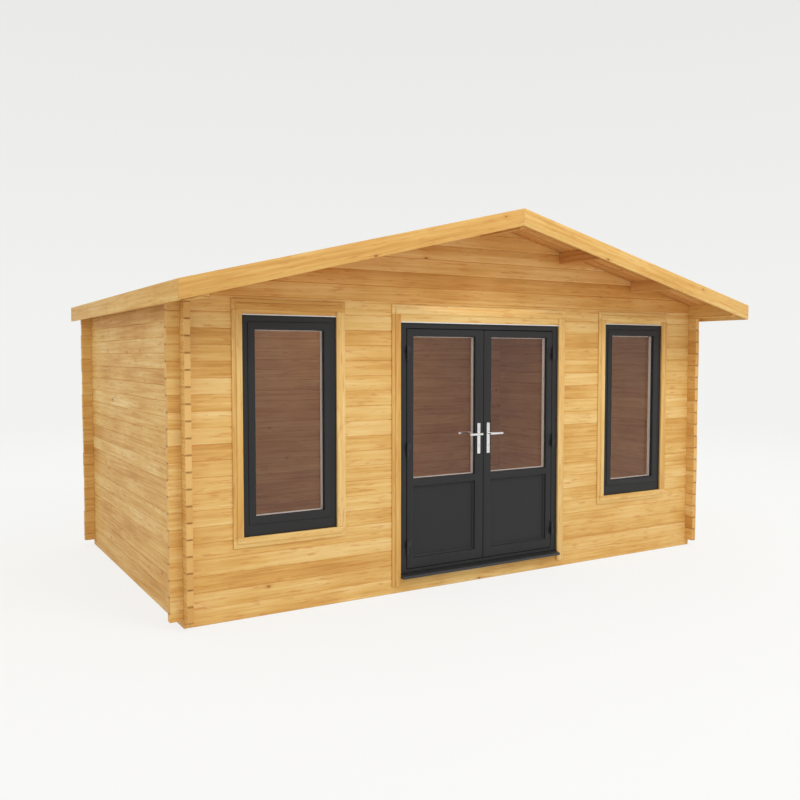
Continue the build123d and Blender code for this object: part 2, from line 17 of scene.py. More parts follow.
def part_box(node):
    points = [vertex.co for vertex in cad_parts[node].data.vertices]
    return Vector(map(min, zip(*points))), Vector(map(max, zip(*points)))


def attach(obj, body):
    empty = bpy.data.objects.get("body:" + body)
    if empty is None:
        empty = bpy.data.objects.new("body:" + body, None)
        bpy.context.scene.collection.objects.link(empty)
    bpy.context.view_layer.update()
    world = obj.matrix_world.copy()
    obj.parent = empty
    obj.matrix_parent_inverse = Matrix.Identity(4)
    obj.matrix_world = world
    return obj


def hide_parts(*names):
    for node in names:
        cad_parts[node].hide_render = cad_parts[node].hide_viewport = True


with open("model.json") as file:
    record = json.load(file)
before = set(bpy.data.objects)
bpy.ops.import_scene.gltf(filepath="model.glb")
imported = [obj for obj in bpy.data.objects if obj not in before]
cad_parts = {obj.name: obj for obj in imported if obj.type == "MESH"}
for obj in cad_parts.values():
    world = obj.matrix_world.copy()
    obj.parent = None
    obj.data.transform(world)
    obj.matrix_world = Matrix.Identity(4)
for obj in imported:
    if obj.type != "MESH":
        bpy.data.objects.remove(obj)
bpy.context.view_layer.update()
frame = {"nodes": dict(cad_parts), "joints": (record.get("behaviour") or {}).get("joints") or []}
LOGGER = logging.getLogger("log_cabin")

# Pitch of the roof in degrees, and the height of one course of logs
ROOF_PITCH = 13.8
LOG_COURSE = 0.109
# Keeps two faces from lying in one plane
SKIN = 0.0002
# Edges sharper than this angle are eased
SHARP = math.radians(25)
# Places closer than this count as one
NEAR = 1e-5

Colour = tuple[float, float, float, float]
Point = tuple[float, float, float]


def srgb(red: int, green: int, blue: int) -> Colour:
    """Turns a colour as seen on a screen into the shader's linear colour.

    Args:
        red: Red from 0 to 255.
        green: Green from 0 to 255.
        blue: Blue from 0 to 255.

    Returns:
        The linear colour with full alpha.
    """
    parts = []
    for channel in (red, green, blue):
        share = channel / 255
        parts.append(share / 12.92 if share <= 0.04045 else ((share + 0.055) / 1.055) ** 2.4)
    return (parts[0], parts[1], parts[2], 1.0)


class Grain(Enum):
    """Ways the grain runs, as the turn in degrees that lays it along the first axis."""

    LEVEL = (0.0, 0.0, 0.0)
    LENGTHWISE = (0.0, 0.0, -90.0)
    UPRIGHT = (0.0, 90.0, 0.0)
    LEFT_SLOPE = (0.0, ROOF_PITCH, 0.0)
    RIGHT_SLOPE = (0.0, -ROOF_PITCH, 0.0)

    @property
    def turn(self) -> Euler:
        """The turn in radians."""
        return Euler([math.radians(part) for part in self.value])


class Body(Enum):
    """Bodies of the frame that pieces ride on."""

    CABIN = "cabin"
    LEFT_DOOR = "left_door"
    RIGHT_DOOR = "right_door"
    LEFT_HANDLE = "left_handle"
    RIGHT_HANDLE = "right_handle"


class Side(Enum):
    """The two sides of the cabin, as the sign of X."""

    LEFT = -1
    RIGHT = 1

    @property
    def word(self) -> str:
        """The side's name as the frame's nodes have it."""
        return self.name.lower()

    @property
    def door(self) -> Body:
        """The door leaf on this side."""
        return Body.LEFT_DOOR if self is Side.LEFT else Body.RIGHT_DOOR

    @property
    def handle(self) -> Body:
        """The lever on this side."""
        return Body.LEFT_HANDLE if self is Side.LEFT else Body.RIGHT_HANDLE

    @property
    def slope(self) -> Grain:
        """The grain of boards that run down this side of the roof."""
        return Grain.LEFT_SLOPE if self is Side.LEFT else Grain.RIGHT_SLOPE


class NodeSheet:
    """A node tree to which every node is added in one way."""

    def __init__(self, tree: bpy.types.NodeTree) -> None:
        """Keeps the tree."""
        self.tree = tree

    def add(
        self, kind: str, settings: dict | None = None, sockets: dict | None = None
    ) -> bpy.types.Node:
        """Adds one node.

        Args:
            kind: Blender's name for the type of node.
            settings: Properties, set first; stops holds a colour ramp's stops.
            sockets: Values or links of the inputs, by name or place.

        Returns:
            The new node.
        """
        node = self.tree.nodes.new(kind)
        for key, value in (settings or {}).items():
            if key == "stops":
                self._set_stops(node, value)
            else:
                setattr(node, key, value)
        for key, value in (sockets or {}).items():
            if isinstance(value, Wire):
                self.tree.links.new(value.socket, node.inputs[key])
            elif isinstance(value, bpy.types.NodeSocket):
                self.tree.links.new(value, node.inputs[key])
            else:
                node.inputs[key].default_value = value
        return node

    @staticmethod
    def _set_stops(node: bpy.types.Node, stops: list[tuple[float, Colour]]) -> None:
        """Sets the stops of a colour ramp.

        Args:
            node: The ramp's node.
            stops: Places from 0 to 1 with their colours.
        """
        elements = node.color_ramp.elements
        while len(elements) < len(stops):
            elements.new(1.0)
        for element, (place, colour) in zip(elements, stops):
            element.position = place
            element.color = colour


class Wire:
    """A socket that takes part in sums, each of which adds a Math node."""

    def __init__(self, sheet: MaterialSheet, socket: bpy.types.NodeSocket) -> None:
        """Keeps the socket and the sheet that its sums go to."""
        self.sheet = sheet
        self.socket = socket

    def maths(self, operation: str, other: Wire | float | None = None, swapped: bool = False) -> Wire:
        """Adds one Math node.

        Args:
            operation: The node's operation.
            other: The second value, where there is one.
            swapped: True if the other value comes first.

        Returns:
            The node's result.
        """
        sockets = {0: self} if other is None else {0: self, 1: other}
        if swapped:
            sockets = {0: other, 1: self}
        return self.sheet.wire("ShaderNodeMath", {"operation": operation}, sockets)

    def __add__(self, other: Wire | float) -> Wire:
        """Sum."""
        return self.maths("ADD", other)

    __radd__ = __add__

    def __sub__(self, other: Wire | float) -> Wire:
        """Difference."""
        return self.maths("SUBTRACT", other)

    def __rsub__(self, other: float) -> Wire:
        """Difference from a number."""
        return self.maths("SUBTRACT", other, True)

    def __mul__(self, other: Wire | float) -> Wire:
        """Product."""
        return self.maths("MULTIPLY", other)

    def __truediv__(self, other: Wire | float) -> Wire:
        """Quotient."""
        return self.maths("DIVIDE", other)

    def __pow__(self, other: float) -> Wire:
        """Power."""
        return self.maths("POWER", other)

    def __abs__(self) -> Wire:
        """Size without its sign."""
        return self.maths("ABSOLUTE")

    def floor(self) -> Wire:
        """Whole part."""
        return self.maths("FLOOR")

    def fract(self) -> Wire:
        """Part after the point."""
        return self.maths("FRACT")

    def over(self, limit: float) -> Wire:
        """One above the limit and zero below it."""
        return self.maths("GREATER_THAN", limit)

    def rise(self, low: float, high: float) -> Wire:
        """Rises smoothly from zero to one between two values.

        Args:
            low: Value at which it leaves zero.
            high: Value at which it reaches one.

        Returns:
            The share from zero to one.
        """
        return self.sheet.wire(
            "ShaderNodeMapRange",
            {"interpolation_type": "SMOOTHSTEP"},
            {"Value": self, "From Min": low, "From Max": high},
        )


class MaterialSheet(NodeSheet):
    """The node tree of one material."""

    def __init__(self, name: str) -> None:
        """Makes an empty material of that name."""
        self.material = bpy.data.materials.new(name)
        self.material.use_nodes = True
        super().__init__(self.material.node_tree)
        self.tree.nodes.clear()

    def wire(
        self,
        kind: str,
        settings: dict | None = None,
        sockets: dict | None = None,
        output: int | str = 0,
    ) -> Wire:
        """Adds a node and gives one of its outputs.

        Args:
            kind: Blender's name for the type of node.
            settings: Properties, set first.
            sockets: Values or links of the inputs.
            output: Name or place of the output.

        Returns:
            The output.
        """
        return Wire(self, self.add(kind, settings, sockets).outputs[output])

    def split(self, vector: Wire) -> tuple[Wire, Wire, Wire]:
        """Gives the three parts of a vector."""
        parts = self.add("ShaderNodeSeparateXYZ", None, {0: vector}).outputs
        return Wire(self, parts[0]), Wire(self, parts[1]), Wire(self, parts[2])

    def place(self, grain: Grain) -> tuple[Wire, Wire, Wire]:
        """Gives the place on the piece, with the first part along the grain.

        Args:
            grain: Way the grain runs.

        Returns:
            Place along the grain, across it and up.
        """
        source = self.wire("ShaderNodeTexCoord", None, None, "Object")
        sockets = {"Vector": source, "Rotation": grain.turn}
        return self.split(self.wire("ShaderNodeMapping", None, sockets))

    def facing(self, grain: Grain) -> Wire:
        """Gives how squarely a face looks along the grain.

        Args:
            grain: Way the grain runs.

        Returns:
            One on an end across the grain and zero on the sides.
        """
        source = self.wire("ShaderNodeTexCoord", None, None, "Normal")
        turned = self.wire(
            "ShaderNodeMapping", {"vector_type": "VECTOR"}, {"Vector": source, "Rotation": grain.turn}
        )
        return abs(self.split(turned)[0])

    def vector(self, first: Wire | float, second: Wire | float, third: Wire | float) -> Wire:
        """Joins three values to a vector."""
        return self.wire("ShaderNodeCombineXYZ", None, {0: first, 1: second, 2: third})

    def noise(
        self, vector: Wire, detail: float = 2.0, roughness: float = 0.5, distortion: float = 0.0
    ) -> Wire:
        """Adds a noise at a scale that the vector already holds.

        Args:
            vector: Place in the noise.
            detail: Layers of finer noise.
            roughness: Strength of the finer layers.
            distortion: Bending of the noise.

        Returns:
            Values round a half.
        """
        return self.wire(
            "ShaderNodeTexNoise",
            None,
            {
                "Vector": vector,
                "Scale": 1.0,
                "Detail": detail,
                "Roughness": roughness,
                "Distortion": distortion,
            },
        )

    def chances(
        self, first: Wire | float, second: Wire | float, third: Wire | float
    ) -> tuple[Wire, Wire, Wire]:
        """Gives chance values that stay the same for the same three numbers.

        Args:
            first: First number.
            second: Second number.
            third: Third number.

        Returns:
            Three values from zero to one.
        """
        seed = {"Vector": self.vector(first, second, third)}
        settings = {"noise_dimensions": "3D"}
        return self.split(self.wire("ShaderNodeTexWhiteNoise", settings, seed, "Color"))

    def blend(
        self, factor: Wire | float, first: Wire | Colour, second: Wire | Colour, mode: str = "MIX"
    ) -> Wire:
        """Mixes two colours.

        Args:
            factor: Share of the second colour.
            first: First colour.
            second: Second colour.
            mode: Way of mixing.

        Returns:
            The mixed colour.
        """
        settings = {"data_type": "RGBA", "blend_type": mode}
        return self.wire("ShaderNodeMix", settings, {0: factor, 6: first, 7: second}, 2)

    def ramp(self, value: Wire, stops: list[tuple[float, Colour]]) -> Wire:
        """Turns a value into a colour by stops."""
        return self.wire("ShaderNodeValToRGB", {"stops": stops}, {0: value})

    def bump(self, height: Wire, strength: float, distance: float) -> Wire:
        """Gives a normal that follows a height.

        Args:
            height: The height, round zero to one.
            strength: Share of the effect.
            distance: Depth in metres.

        Returns:
            The normal.
        """
        sockets = {"Height": height, "Strength": strength, "Distance": distance}
        return self.wire("ShaderNodeBump", None, sockets)

    def close(self, shader: bpy.types.Node) -> bpy.types.Material:
        """Links the shader to the output and gives the material."""
        self.add("ShaderNodeOutputMaterial", None, {"Surface": shader.outputs[0]})
        return self.material


@dataclass(frozen=True)
class PineTones:
    """Colours of planed pine."""

    streak: Colour
    warm: Colour
    body: Colour
    pale: Colour
    fleck: Colour
    knot: Colour
    end: Colour


WALL_PINE = PineTones(
    streak=srgb(196, 140, 68),
    warm=srgb(217, 168, 92),
    body=srgb(229, 188, 114),
    pale=srgb(241, 210, 146),
    fleck=srgb(198, 126, 60),
    knot=srgb(128, 74, 34),
    end=srgb(236, 194, 122),
)
# Multiplier for the painted shade under the eaves, darker and more orange
EAVES_SHADE: Colour = (1.0, 0.89, 0.83, 1.0)
# Darker, more orange pine for the roof boards and purlins: painted shade and painted bounce light under
# the roof
SHADED_ROOF_PINE = PineTones(
    streak=srgb(178, 116, 56),
    warm=srgb(200, 140, 74),
    body=srgb(214, 158, 90),
    pale=srgb(225, 177, 110),
    fleck=srgb(170, 102, 46),
    knot=srgb(112, 64, 28),
    end=srgb(206, 150, 82),
)


@dataclass(frozen=True)
class PineFinish:
    """Planed pine whose logs and boards differ in tone.

    A course above zero tells logs apart by their height; otherwise each piece's own number does.
    Logs under the eaves get painted shade, a darker and more orange tone, from the shade height
    upwards.
    """

    name: str
    grain: Grain
    tones: PineTones = WALL_PINE
    course: float = 0.0
    course_shift: float = 0.0
    spread: float = 0.12
    drift: float = 0.42
    knots: float = 0.5
    shelter: float = 0.0

    def make(self) -> bpy.types.Material:
        """Builds the material.

        Returns:
            The material.
        """
        sheet = MaterialSheet(self.name)
        along, deep, up = sheet.place(self.grain)
        # Which log or board this is, and where its heart lies
        if self.course:
            level = up / self.course + self.course_shift
            row = level.floor()
            joint = abs(level.fract() - 0.5) * 2
            middle = (level.fract() - 0.35) * self.course
        else:
            row = sheet.wire("ShaderNodeAttribute", {"attribute_name": "piece"}, None, "Fac") * 97
            joint = None
            middle = (up * 6).fract() * 0.1
        # Each piece has its own tone, with streaks and fibres that run along the grain
        tone, hue, shift = sheet.chances(row, 4.1, (deep * 0.4).floor())
        run = along + shift * 43
        drift = sheet.noise(sheet.vector(run * 1.7, row * 5.7, hue * 31), 2.0)
        streak = sheet.noise(sheet.vector(run * 1.6, up * 46, deep * 46), 5.0, 0.62, 0.25)
        fibre = sheet.noise(sheet.vector(run * 6.5, up * 260, deep * 260), 2.0)
        bands = sheet.noise(sheet.vector(run * 0.7, up * 15, deep * 15), 2.0)
        mixed = streak * 0.55 + bands * 0.3 + fibre * 0.15 + (tone - 0.5) * self.spread
        mixed = mixed + (drift - 0.5) * self.drift
        marks = sheet.noise(sheet.vector(run * 8, up * 55, deep * 55), 2.0)
        colour = sheet.ramp(
            mixed,
            [
                (0.29, self.tones.streak),
                (0.43, self.tones.warm),
                (0.54, self.tones.body),
                (0.70, self.tones.pale),
            ],
        )
        colour = sheet.blend(hue * 0.22, colour, self.tones.warm)
        colour = sheet.blend(marks.rise(0.56, 0.74) * 0.5, colour, self.tones.fleck)
        colour = self._with_knots(sheet, colour, run, up, deep)
        # Painted shade under the eaves: logs above this height are multiplied darker and more orange
        if self.shelter:
            colour = sheet.blend(up.rise(self.shelter, self.shelter + 0.35), colour, EAVES_SHADE, "MULTIPLY")
        # Cut ends show their rings, and a painted shade line where two logs meet
        ends = sheet.facing(self.grain).rise(0.7, 0.85)
        colour = sheet.blend(ends, colour, self._cut(sheet, middle, deep, hue))
        if joint is not None:
            colour = sheet.blend(joint.rise(0.82, 0.97) * ends * 0.8, colour, self.tones.knot)
        shader = sheet.add(
            "ShaderNodeBsdfPrincipled",
            None,
            {
                "Base Color": colour,
                "Roughness": 0.72 - streak * 0.25,
                "Specular IOR Level": 0.3,
                "Normal": sheet.bump(streak * 0.5 + fibre * 0.5, 0.35, 0.0012),
            },
        )
        return sheet.close(shader)

    def _with_knots(self, sheet: MaterialSheet, colour: Wire, run: Wire, up: Wire, deep: Wire) -> Wire:
        """Adds scattered oval knots.

        Args:
            sheet: The material's nodes.
            colour: Colour so far.
            run: Place along the grain.
            up: Place across the grain.
            deep: Place into the wood.

        Returns:
            The colour with knots.
        """
        here = sheet.vector(run * 1.8, up * 8, deep * 8)
        cell = sheet.add("ShaderNodeTexVoronoi", None, {"Vector": here, "Scale": 1.0})
        away = sheet.wire(
            "ShaderNodeVectorMath", {"operation": "SUBTRACT"}, {0: here, 1: cell.outputs["Position"]}
        )
        along, across, into = sheet.split(away)
        wobble = sheet.noise(sheet.vector(run * 60, up * 60, deep * 60)) * 0.5
        reach = ((along * 23) ** 2 + (across * 10) ** 2 + (into * 10) ** 2) ** 0.5 + wobble
        chosen = sheet.split(Wire(sheet, cell.outputs["Color"]))[0].over(self.knots)
        halo = (1 - reach.rise(0.55, 2.6)) * chosen * 0.4
        heart = (1 - reach.rise(0.6, 1.1)) * chosen * 0.75
        return sheet.blend(heart, sheet.blend(halo, colour, self.tones.fleck), self.tones.knot)

    def _cut(self, sheet: MaterialSheet, middle: Wire, deep: Wire, hue: Wire) -> Wire:
        """Gives the colour of an end cut across the grain, with its year rings.

        Args:
            sheet: The material's nodes.
            middle: Height from the log's heart.
            deep: Place into the wood.
            hue: Chance value of the piece.

        Returns:
            The colour of the end.
        """
        side = (deep * 7).fract() * 0.14 - 0.05
        reach = ((middle + hue * 0.04) ** 2 + side**2) ** 0.5
        rings = (reach * 1100).maths("SINE") * 0.5 + 0.5
        cut = sheet.blend(rings * 0.25, self.tones.end, self.tones.streak)
        return sheet.blend(hue * 0.6, cut, self.tones.streak)


@dataclass(frozen=True)
class FoilFinish:
    """Plastic profile with a dark foil outside and plain white inside."""

    name: str
    foil: Colour
    inside: Colour
    split: float

    def make(self) -> bpy.types.Material:
        """Builds the material.

        Returns:
            The material.
        """
        sheet = MaterialSheet(self.name)
        across, deep, up = sheet.place(Grain.LEVEL)
        pebble = sheet.noise(sheet.vector(across * 700, deep * 700, up * 260), 2.0)
        cloud = sheet.noise(sheet.vector(across * 3, deep * 3, up * 3), 2.0)
        shade = sheet.blend(cloud * 0.35, self.foil, srgb(54, 55, 57))
        colour = sheet.blend(deep.over(self.split), shade, self.inside)
        shader = sheet.add(
            "ShaderNodeBsdfPrincipled",
            None,
            {
                "Base Color": colour,
                "Roughness": 0.4 + pebble * 0.16,
                "Specular IOR Level": 0.25,
                "Normal": sheet.bump(pebble, 0.12, 0.0006),
            },
        )
        return sheet.close(shader)


@dataclass(frozen=True)
class PlainFinish:
    """A small part's finish: one colour, a fine speckle and some gloss."""

    name: str
    colour: Colour
    dark: Colour
    metallic: float = 0.0
    roughness: float = 0.5
    speckle: float = 400.0
    depth: float = 0.0002

    def make(self) -> bpy.types.Material:
        """Builds the material.

        Returns:
            The material.
        """
        sheet = MaterialSheet(self.name)
        across, deep, up = sheet.place(Grain.LEVEL)
        size = self.speckle
        fine = sheet.noise(sheet.vector(across * size, deep * size, up * size), 3.0)
        wide = sheet.noise(sheet.vector(across * 20, deep * 20, up * 20), 2.0)
        colour = sheet.blend((fine * 0.6 + wide * 0.4).rise(0.3, 0.8), self.colour, self.dark)
        shader = sheet.add(
            "ShaderNodeBsdfPrincipled",
            None,
            {
                "Base Color": colour,
                "Metallic": self.metallic,
                "Roughness": self.roughness + (wide - 0.5) * 0.12,
                "Normal": sheet.bump(fine, 0.3, self.depth),
            },
        )
        return sheet.close(shader)


@dataclass(frozen=True)
class GlassFinish:
    """Clear pane that lets the room show and keeps a thin reflection."""

    name: str
    tint: Colour
    shine: float

    def make(self) -> bpy.types.Material:
        """Builds the material.

        Returns:
            The material.
        """
        sheet = MaterialSheet(self.name)
        edge = sheet.wire("ShaderNodeLayerWeight", None, {"Blend": 0.5}, "Facing")
        share = edge**5 * (1 - self.shine) + self.shine
        clear = sheet.add("ShaderNodeBsdfTransparent", None, {"Color": self.tint})
        mirror = sheet.add("ShaderNodeBsdfGlossy", None, {"Roughness": 0.02})
        both = sheet.add(
            "ShaderNodeMixShader", None, {0: share, 1: clear.outputs[0], 2: mirror.outputs[0]}
        )
        return sheet.close(both)


@dataclass(frozen=True)
class StageFinish:
    """Pale floor that fades into the backdrop far from the cabin."""

    name: str
    colour: Colour
    glow: Colour
    share: float
    near: float
    far: float

    def make(self) -> bpy.types.Material:
        """Builds the material.

        Returns:
            The material.
        """
        sheet = MaterialSheet(self.name)
        across, deep, _ = sheet.place(Grain.LEVEL)
        reach = (across**2 + deep**2) ** 0.5
        ground = sheet.add("ShaderNodeBsdfDiffuse", None, {"Color": self.colour})
        glow = sheet.add("ShaderNodeEmission", None, {"Color": self.glow, "Strength": 1.0})
        path = sheet.add("ShaderNodeLightPath")
        seen = Wire(sheet, path.outputs["Is Camera Ray"])
        for kind in ("Is Glossy Ray", "Is Transmission Ray"):
            seen = seen.maths("MAXIMUM", Wire(sheet, path.outputs[kind]))
        seen = seen * self.share
        lit = sheet.add(
            "ShaderNodeMixShader", None, {0: seen, 1: ground.outputs[0], 2: glow.outputs[0]}
        )
        clear = sheet.add("ShaderNodeBsdfTransparent")
        both = sheet.add(
            "ShaderNodeMixShader",
            None,
            {0: reach.rise(self.near, self.far), 1: lit.outputs[0], 2: clear.outputs[0]},
        )
        return sheet.close(both)


class Finishes:
    """Every finish of the cabin, built once."""

    def __init__(self) -> None:
        """Builds the materials."""
        # The front logs get painted shade under the eaves from 2.0 m up
        self.front_logs = PineFinish(
            "pine_logs_front", Grain.LEVEL, course=LOG_COURSE, shelter=2.0
        ).make()
        self.side_logs = PineFinish(
            "pine_logs_side", Grain.LENGTHWISE, course=LOG_COURSE, course_shift=0.5
        ).make()
        self.boards = {grain: self._board("pine_boards", grain, WALL_PINE) for grain in Grain}
        # Roof boards and purlins take the darker roof pine, painted shade under the roof
        self.roof = {
            grain: self._board("roof_pine", grain, SHADED_ROOF_PINE)
            for grain in (Grain.LENGTHWISE, Grain.LEFT_SLOPE, Grain.RIGHT_SLOPE)
        }
        dark, plain = srgb(39, 40, 41), srgb(232, 233, 230)
        self.foil = FoilFinish("anthracite_foil", dark, plain, -1.2145).make()
        # The door frame is dark as far as the front of its stop lip
        self.rebate = FoilFinish("anthracite_rebate", dark, plain, -1.1825).make()
        self.sill = PlainFinish(
            "anthracite_sill", srgb(42, 43, 44), srgb(54, 55, 56), roughness=0.45
        ).make()
        self.rubber = PlainFinish(
            "black_rubber", srgb(24, 24, 25), srgb(34, 34, 35), roughness=0.7
        ).make()
        self.white = PlainFinish(
            "white_plastic", srgb(234, 235, 232), srgb(222, 223, 220), roughness=0.5
        ).make()
        self.chrome = PlainFinish(
            "bright_chrome",
            srgb(236, 236, 236),
            srgb(216, 217, 218),
            metallic=1.0,
            roughness=0.16,
            speckle=90.0,
        ).make()
        self.steel = PlainFinish(
            "dark_hinge", srgb(44, 45, 47), srgb(58, 59, 61), metallic=0.4, roughness=0.42
        ).make()
        self.nails = PlainFinish(
            "bright_nails", srgb(196, 172, 128), srgb(164, 138, 96), metallic=0.6, roughness=0.5
        ).make()
        self.felt = PlainFinish(
            "roofing_felt",
            srgb(70, 74, 72),
            srgb(46, 49, 48),
            roughness=0.92,
            speckle=520.0,
            depth=0.0012,
        ).make()
        self.glass = GlassFinish("clear_glass", (0.985, 0.965, 0.955, 1.0), 0.020).make()
        self.stage = StageFinish(
            "pale_floor", (0.9, 0.9, 0.89, 1.0), (0.965, 0.968, 0.955, 1.0), 0.80, 6.0, 17.0
        ).make()

    @staticmethod
    def _board(kind: str, grain: Grain, tones: PineTones) -> bpy.types.Material:
        """Builds the finish of boards, which differ more from each other than logs do.

        Args:
            kind: Start of the material's name.
            grain: Way the grain runs.
            tones: Colours of the wood.

        Returns:
            The material.
        """
        name = f"{kind}_{grain.name.lower()}"
        return PineFinish(name, grain, tones, spread=0.2, drift=0.2, knots=0.7).make()


@dataclass
class Solid:
    """One of the separate solids of a mesh, with its box."""

    low: Vector
    high: Vector
    faces: list[bmesh.types.BMFace]
    verts: set[bmesh.types.BMVert]


class Shape:
    """A mesh in the making, each of whose parts gets a number of its own."""

    def __init__(self, seed: int = 1) -> None:
        """Starts empty.

        Args:
            seed: Start of the numbers.
        """
        self.work = bmesh.new()
        self.number = self.work.faces.layers.float.new("piece")
        self.chance = random.Random(seed)

    def _mark(self, faces: set[bmesh.types.BMFace] | list[bmesh.types.BMFace]) -> None:
        """Gives the faces of one part their number.

        Args:
            faces: Faces of the part.
        """
        value = self.chance.random()
        for face in faces:
            face[self.number] = value

    def box(self, low: Point, high: Point, radius: float = 0.0, steps: int = 2) -> None:
        """Adds a box with eased edges.

        Args:
            low: Lowest corner.
            high: Highest corner.
            radius: Easing of the edges.
            steps: Faces across an edge.
        """
        middle = (Vector(low) + Vector(high)) / 2
        size = Vector(high) - Vector(low)
        matrix = Matrix.Translation(middle) @ Matrix.Diagonal((*size, 1.0))
        made = bmesh.ops.create_cube(self.work, size=1.0, matrix=matrix)["verts"]
        self._mark({face for vert in made for face in vert.link_faces})
        self._ease({edge for vert in made for edge in vert.link_edges}, radius, steps)

    @staticmethod
    def _grow(start: bmesh.types.BMVert) -> list[bmesh.types.BMFace]:
        """Collects the faces joined to a vertex.

        Args:
            start: Vertex to begin from.

        Returns:
            The faces of its part.
        """
        seen = {start}
        queue = [start]
        faces = set()
        while queue:
            vert = queue.pop()
            faces.update(vert.link_faces)
            for edge in vert.link_edges:
                other = edge.other_vert(vert)
                if other not in seen:
                    seen.add(other)
                    queue.append(other)
        return list(faces)

    def _solids(self) -> list[Solid]:
        """Finds the separate solids.

        Returns:
            The solids in the order of their places, so that every run draws alike.
        """
        solids = []
        left = set(self.work.verts)
        for start in self.work.verts:
            if start not in left:
                continue
            faces = self._grow(start)
            verts = {vert for face in faces for vert in face.verts}
            left -= verts
            places = [vert.co for vert in verts]
            low = Vector([min(place[axis] for place in places) for axis in range(3)])
            high = Vector([max(place[axis] for place in places) for axis in range(3)])
            solids.append(Solid(low, high, faces, verts))
        return sorted(solids, key=lambda solid: [round(part, 4) for part in solid.low])

    def _ease(self, edges: set[bmesh.types.BMEdge], radius: float, steps: int) -> None:
        """Eases sharp edges.

        Args:
            edges: Edges to look at.
            radius: Easing; zero leaves them sharp.
            steps: Faces across an edge.
        """
        if radius <= 0:
            return
        self.work.edges.index_update()
        ordered = sorted(edges, key=lambda edge: edge.index)
        sharp = [
            edge for edge in ordered if len(edge.link_faces) == 2 and edge.calc_face_angle(0.0) > SHARP
        ]
        bmesh.ops.bevel(
            self.work,
            geom=sharp,
            offset=radius,
            offset_type="OFFSET",
            segments=steps,
            profile=0.5,
            affect="EDGES",
            clamp_overlap=True,
        )

    def node(self, name: str, radius: float, steps: int = 2) -> list[tuple[Vector, Vector]]:
        """Adds a copy of a frame node with its edges eased.

        Args:
            name: The node.
            radius: Easing of the edges.
            steps: Faces across an edge.

        Returns:
            Lowest and highest corner of each solid.
        """
        self.work.from_mesh(frame["nodes"][name].data)
        bmesh.ops.remove_doubles(self.work, verts=self.work.verts, dist=NEAR)
        bmesh.ops.dissolve_limit(
            self.work, angle_limit=math.radians(1), verts=self.work.verts, edges=self.work.edges
        )
        solids = self._solids()
        for solid in solids:
            self._mark(solid.faces)
        self._ease(set(self.work.edges), radius, steps)
        return [(solid.low, solid.high) for solid in solids]

    def ease_ends(self, axis: int, radius: float) -> None:
        """Eases the edges round the two ends of every solid.

        Args:
            axis: Axis along which the solids lie.
            radius: Easing of the edges.
        """
        edges = set()
        for solid in self._solids():
            low, high = solid.low[axis], solid.high[axis]
            for face in solid.faces:
                places = [vert.co[axis] for vert in face.verts]
                if max(places) - low < NEAR or high - min(places) < NEAR:
                    edges.update(face.edges)
        self._ease(edges, radius, 2)

    def vary_ends(self, axis: int, ends: tuple[float, float], zone: float, play: float) -> None:
        """Shortens the ends of every solid by a little of its own.

        Args:
            axis: Axis along which the solids lie.
            ends: Places of the ends that may be shortened.
            zone: How far from there a vertex still belongs to the end.
            play: Most that an end is shortened by.
        """
        for solid in self._solids():
            cuts = [self.chance.random() * play for _ in ends]
            for place, cut, way in zip(ends, cuts, (1, -1)):
                for vert in solid.verts:
                    if abs(vert.co[axis] - place) < zone:
                        vert.co[axis] += way * cut

    def bar(self, start: Point, end: Point, radius: float, sides: int = 24, ease: float = 0.0) -> None:
        """Adds a round bar between two points.

        Args:
            start: Middle of one end.
            end: Middle of the other end.
            radius: Radius.
            sides: Faces round it.
            ease: Easing of its end edges.
        """
        first, last = Vector(start), Vector(end)
        turn = (last - first).to_track_quat("Z", "Y").to_matrix().to_4x4()
        matrix = Matrix.Translation((first + last) / 2) @ turn
        made = bmesh.ops.create_cone(
            self.work,
            cap_ends=True,
            segments=sides,
            radius1=radius,
            radius2=radius,
            depth=(last - first).length,
            matrix=matrix,
        )["verts"]
        self._mark({face for vert in made for face in vert.link_faces})
        self._ease({edge for vert in made for edge in vert.link_edges}, ease, 2)

    def mitred(self, low: Point, high: Point, profile: list[tuple[float, float]]) -> None:
        """Adds a frame round a rectangle in the plane of the wall, mitred at its corners.

        Args:
            low: Lowest corner of the rectangle.
            high: Highest corner of the rectangle.
            profile: Section of the frame as steps inwards and places in depth.
        """
        loops = []
        for inset, deep in profile:
            corners = (
                (low[0] + inset, low[2] + inset),
                (high[0] - inset, low[2] + inset),
                (high[0] - inset, high[2] - inset),
                (low[0] + inset, high[2] - inset),
            )
            loops.append([self.work.verts.new((x, deep, z)) for x, z in corners])
        faces = []
        for here, there in zip(loops, loops[1:] + loops[:1]):
            for corner in range(4):
                after = (corner + 1) % 4
                corners = (here[corner], here[after], there[after], there[corner])
                faces.append(self.work.faces.new(corners))
        self._mark(faces)

    def prism(self, outline: list[tuple[float, float]], start: float, end: float) -> None:
        """Adds an outline across the cabin, drawn out from front to back.

        Args:
            outline: Places in X and Z.
            start: Front end in Y.
            end: Back end in Y.
        """
        near = [self.work.verts.new((x, start, z)) for x, z in outline]
        far = [self.work.verts.new((x, end, z)) for x, z in outline]
        faces = [self.work.faces.new(near), self.work.faces.new(far[::-1])]
        count = len(outline)
        for place in range(count):
            after = (place + 1) % count
            faces.append(self.work.faces.new((near[place], far[place], far[after], near[after])))
        self._mark(faces)

    def join(self, mesh: bpy.types.Mesh) -> None:
        """Adds a finished mesh."""
        self.work.from_mesh(mesh)

    def mesh(self, name: str, smooth: float = 32.0) -> bpy.types.Mesh:
        """Ends the making.

        Args:
            name: Name of the mesh.
            smooth: Edges below this angle in degrees look round.

        Returns:
            The mesh.
        """
        bmesh.ops.recalc_face_normals(self.work, faces=self.work.faces)
        made = bpy.data.meshes.new(name)
        self.work.to_mesh(made)
        self.work.free()
        made.shade_smooth()
        made.set_sharp_from_angle(angle=math.radians(smooth))
        return made


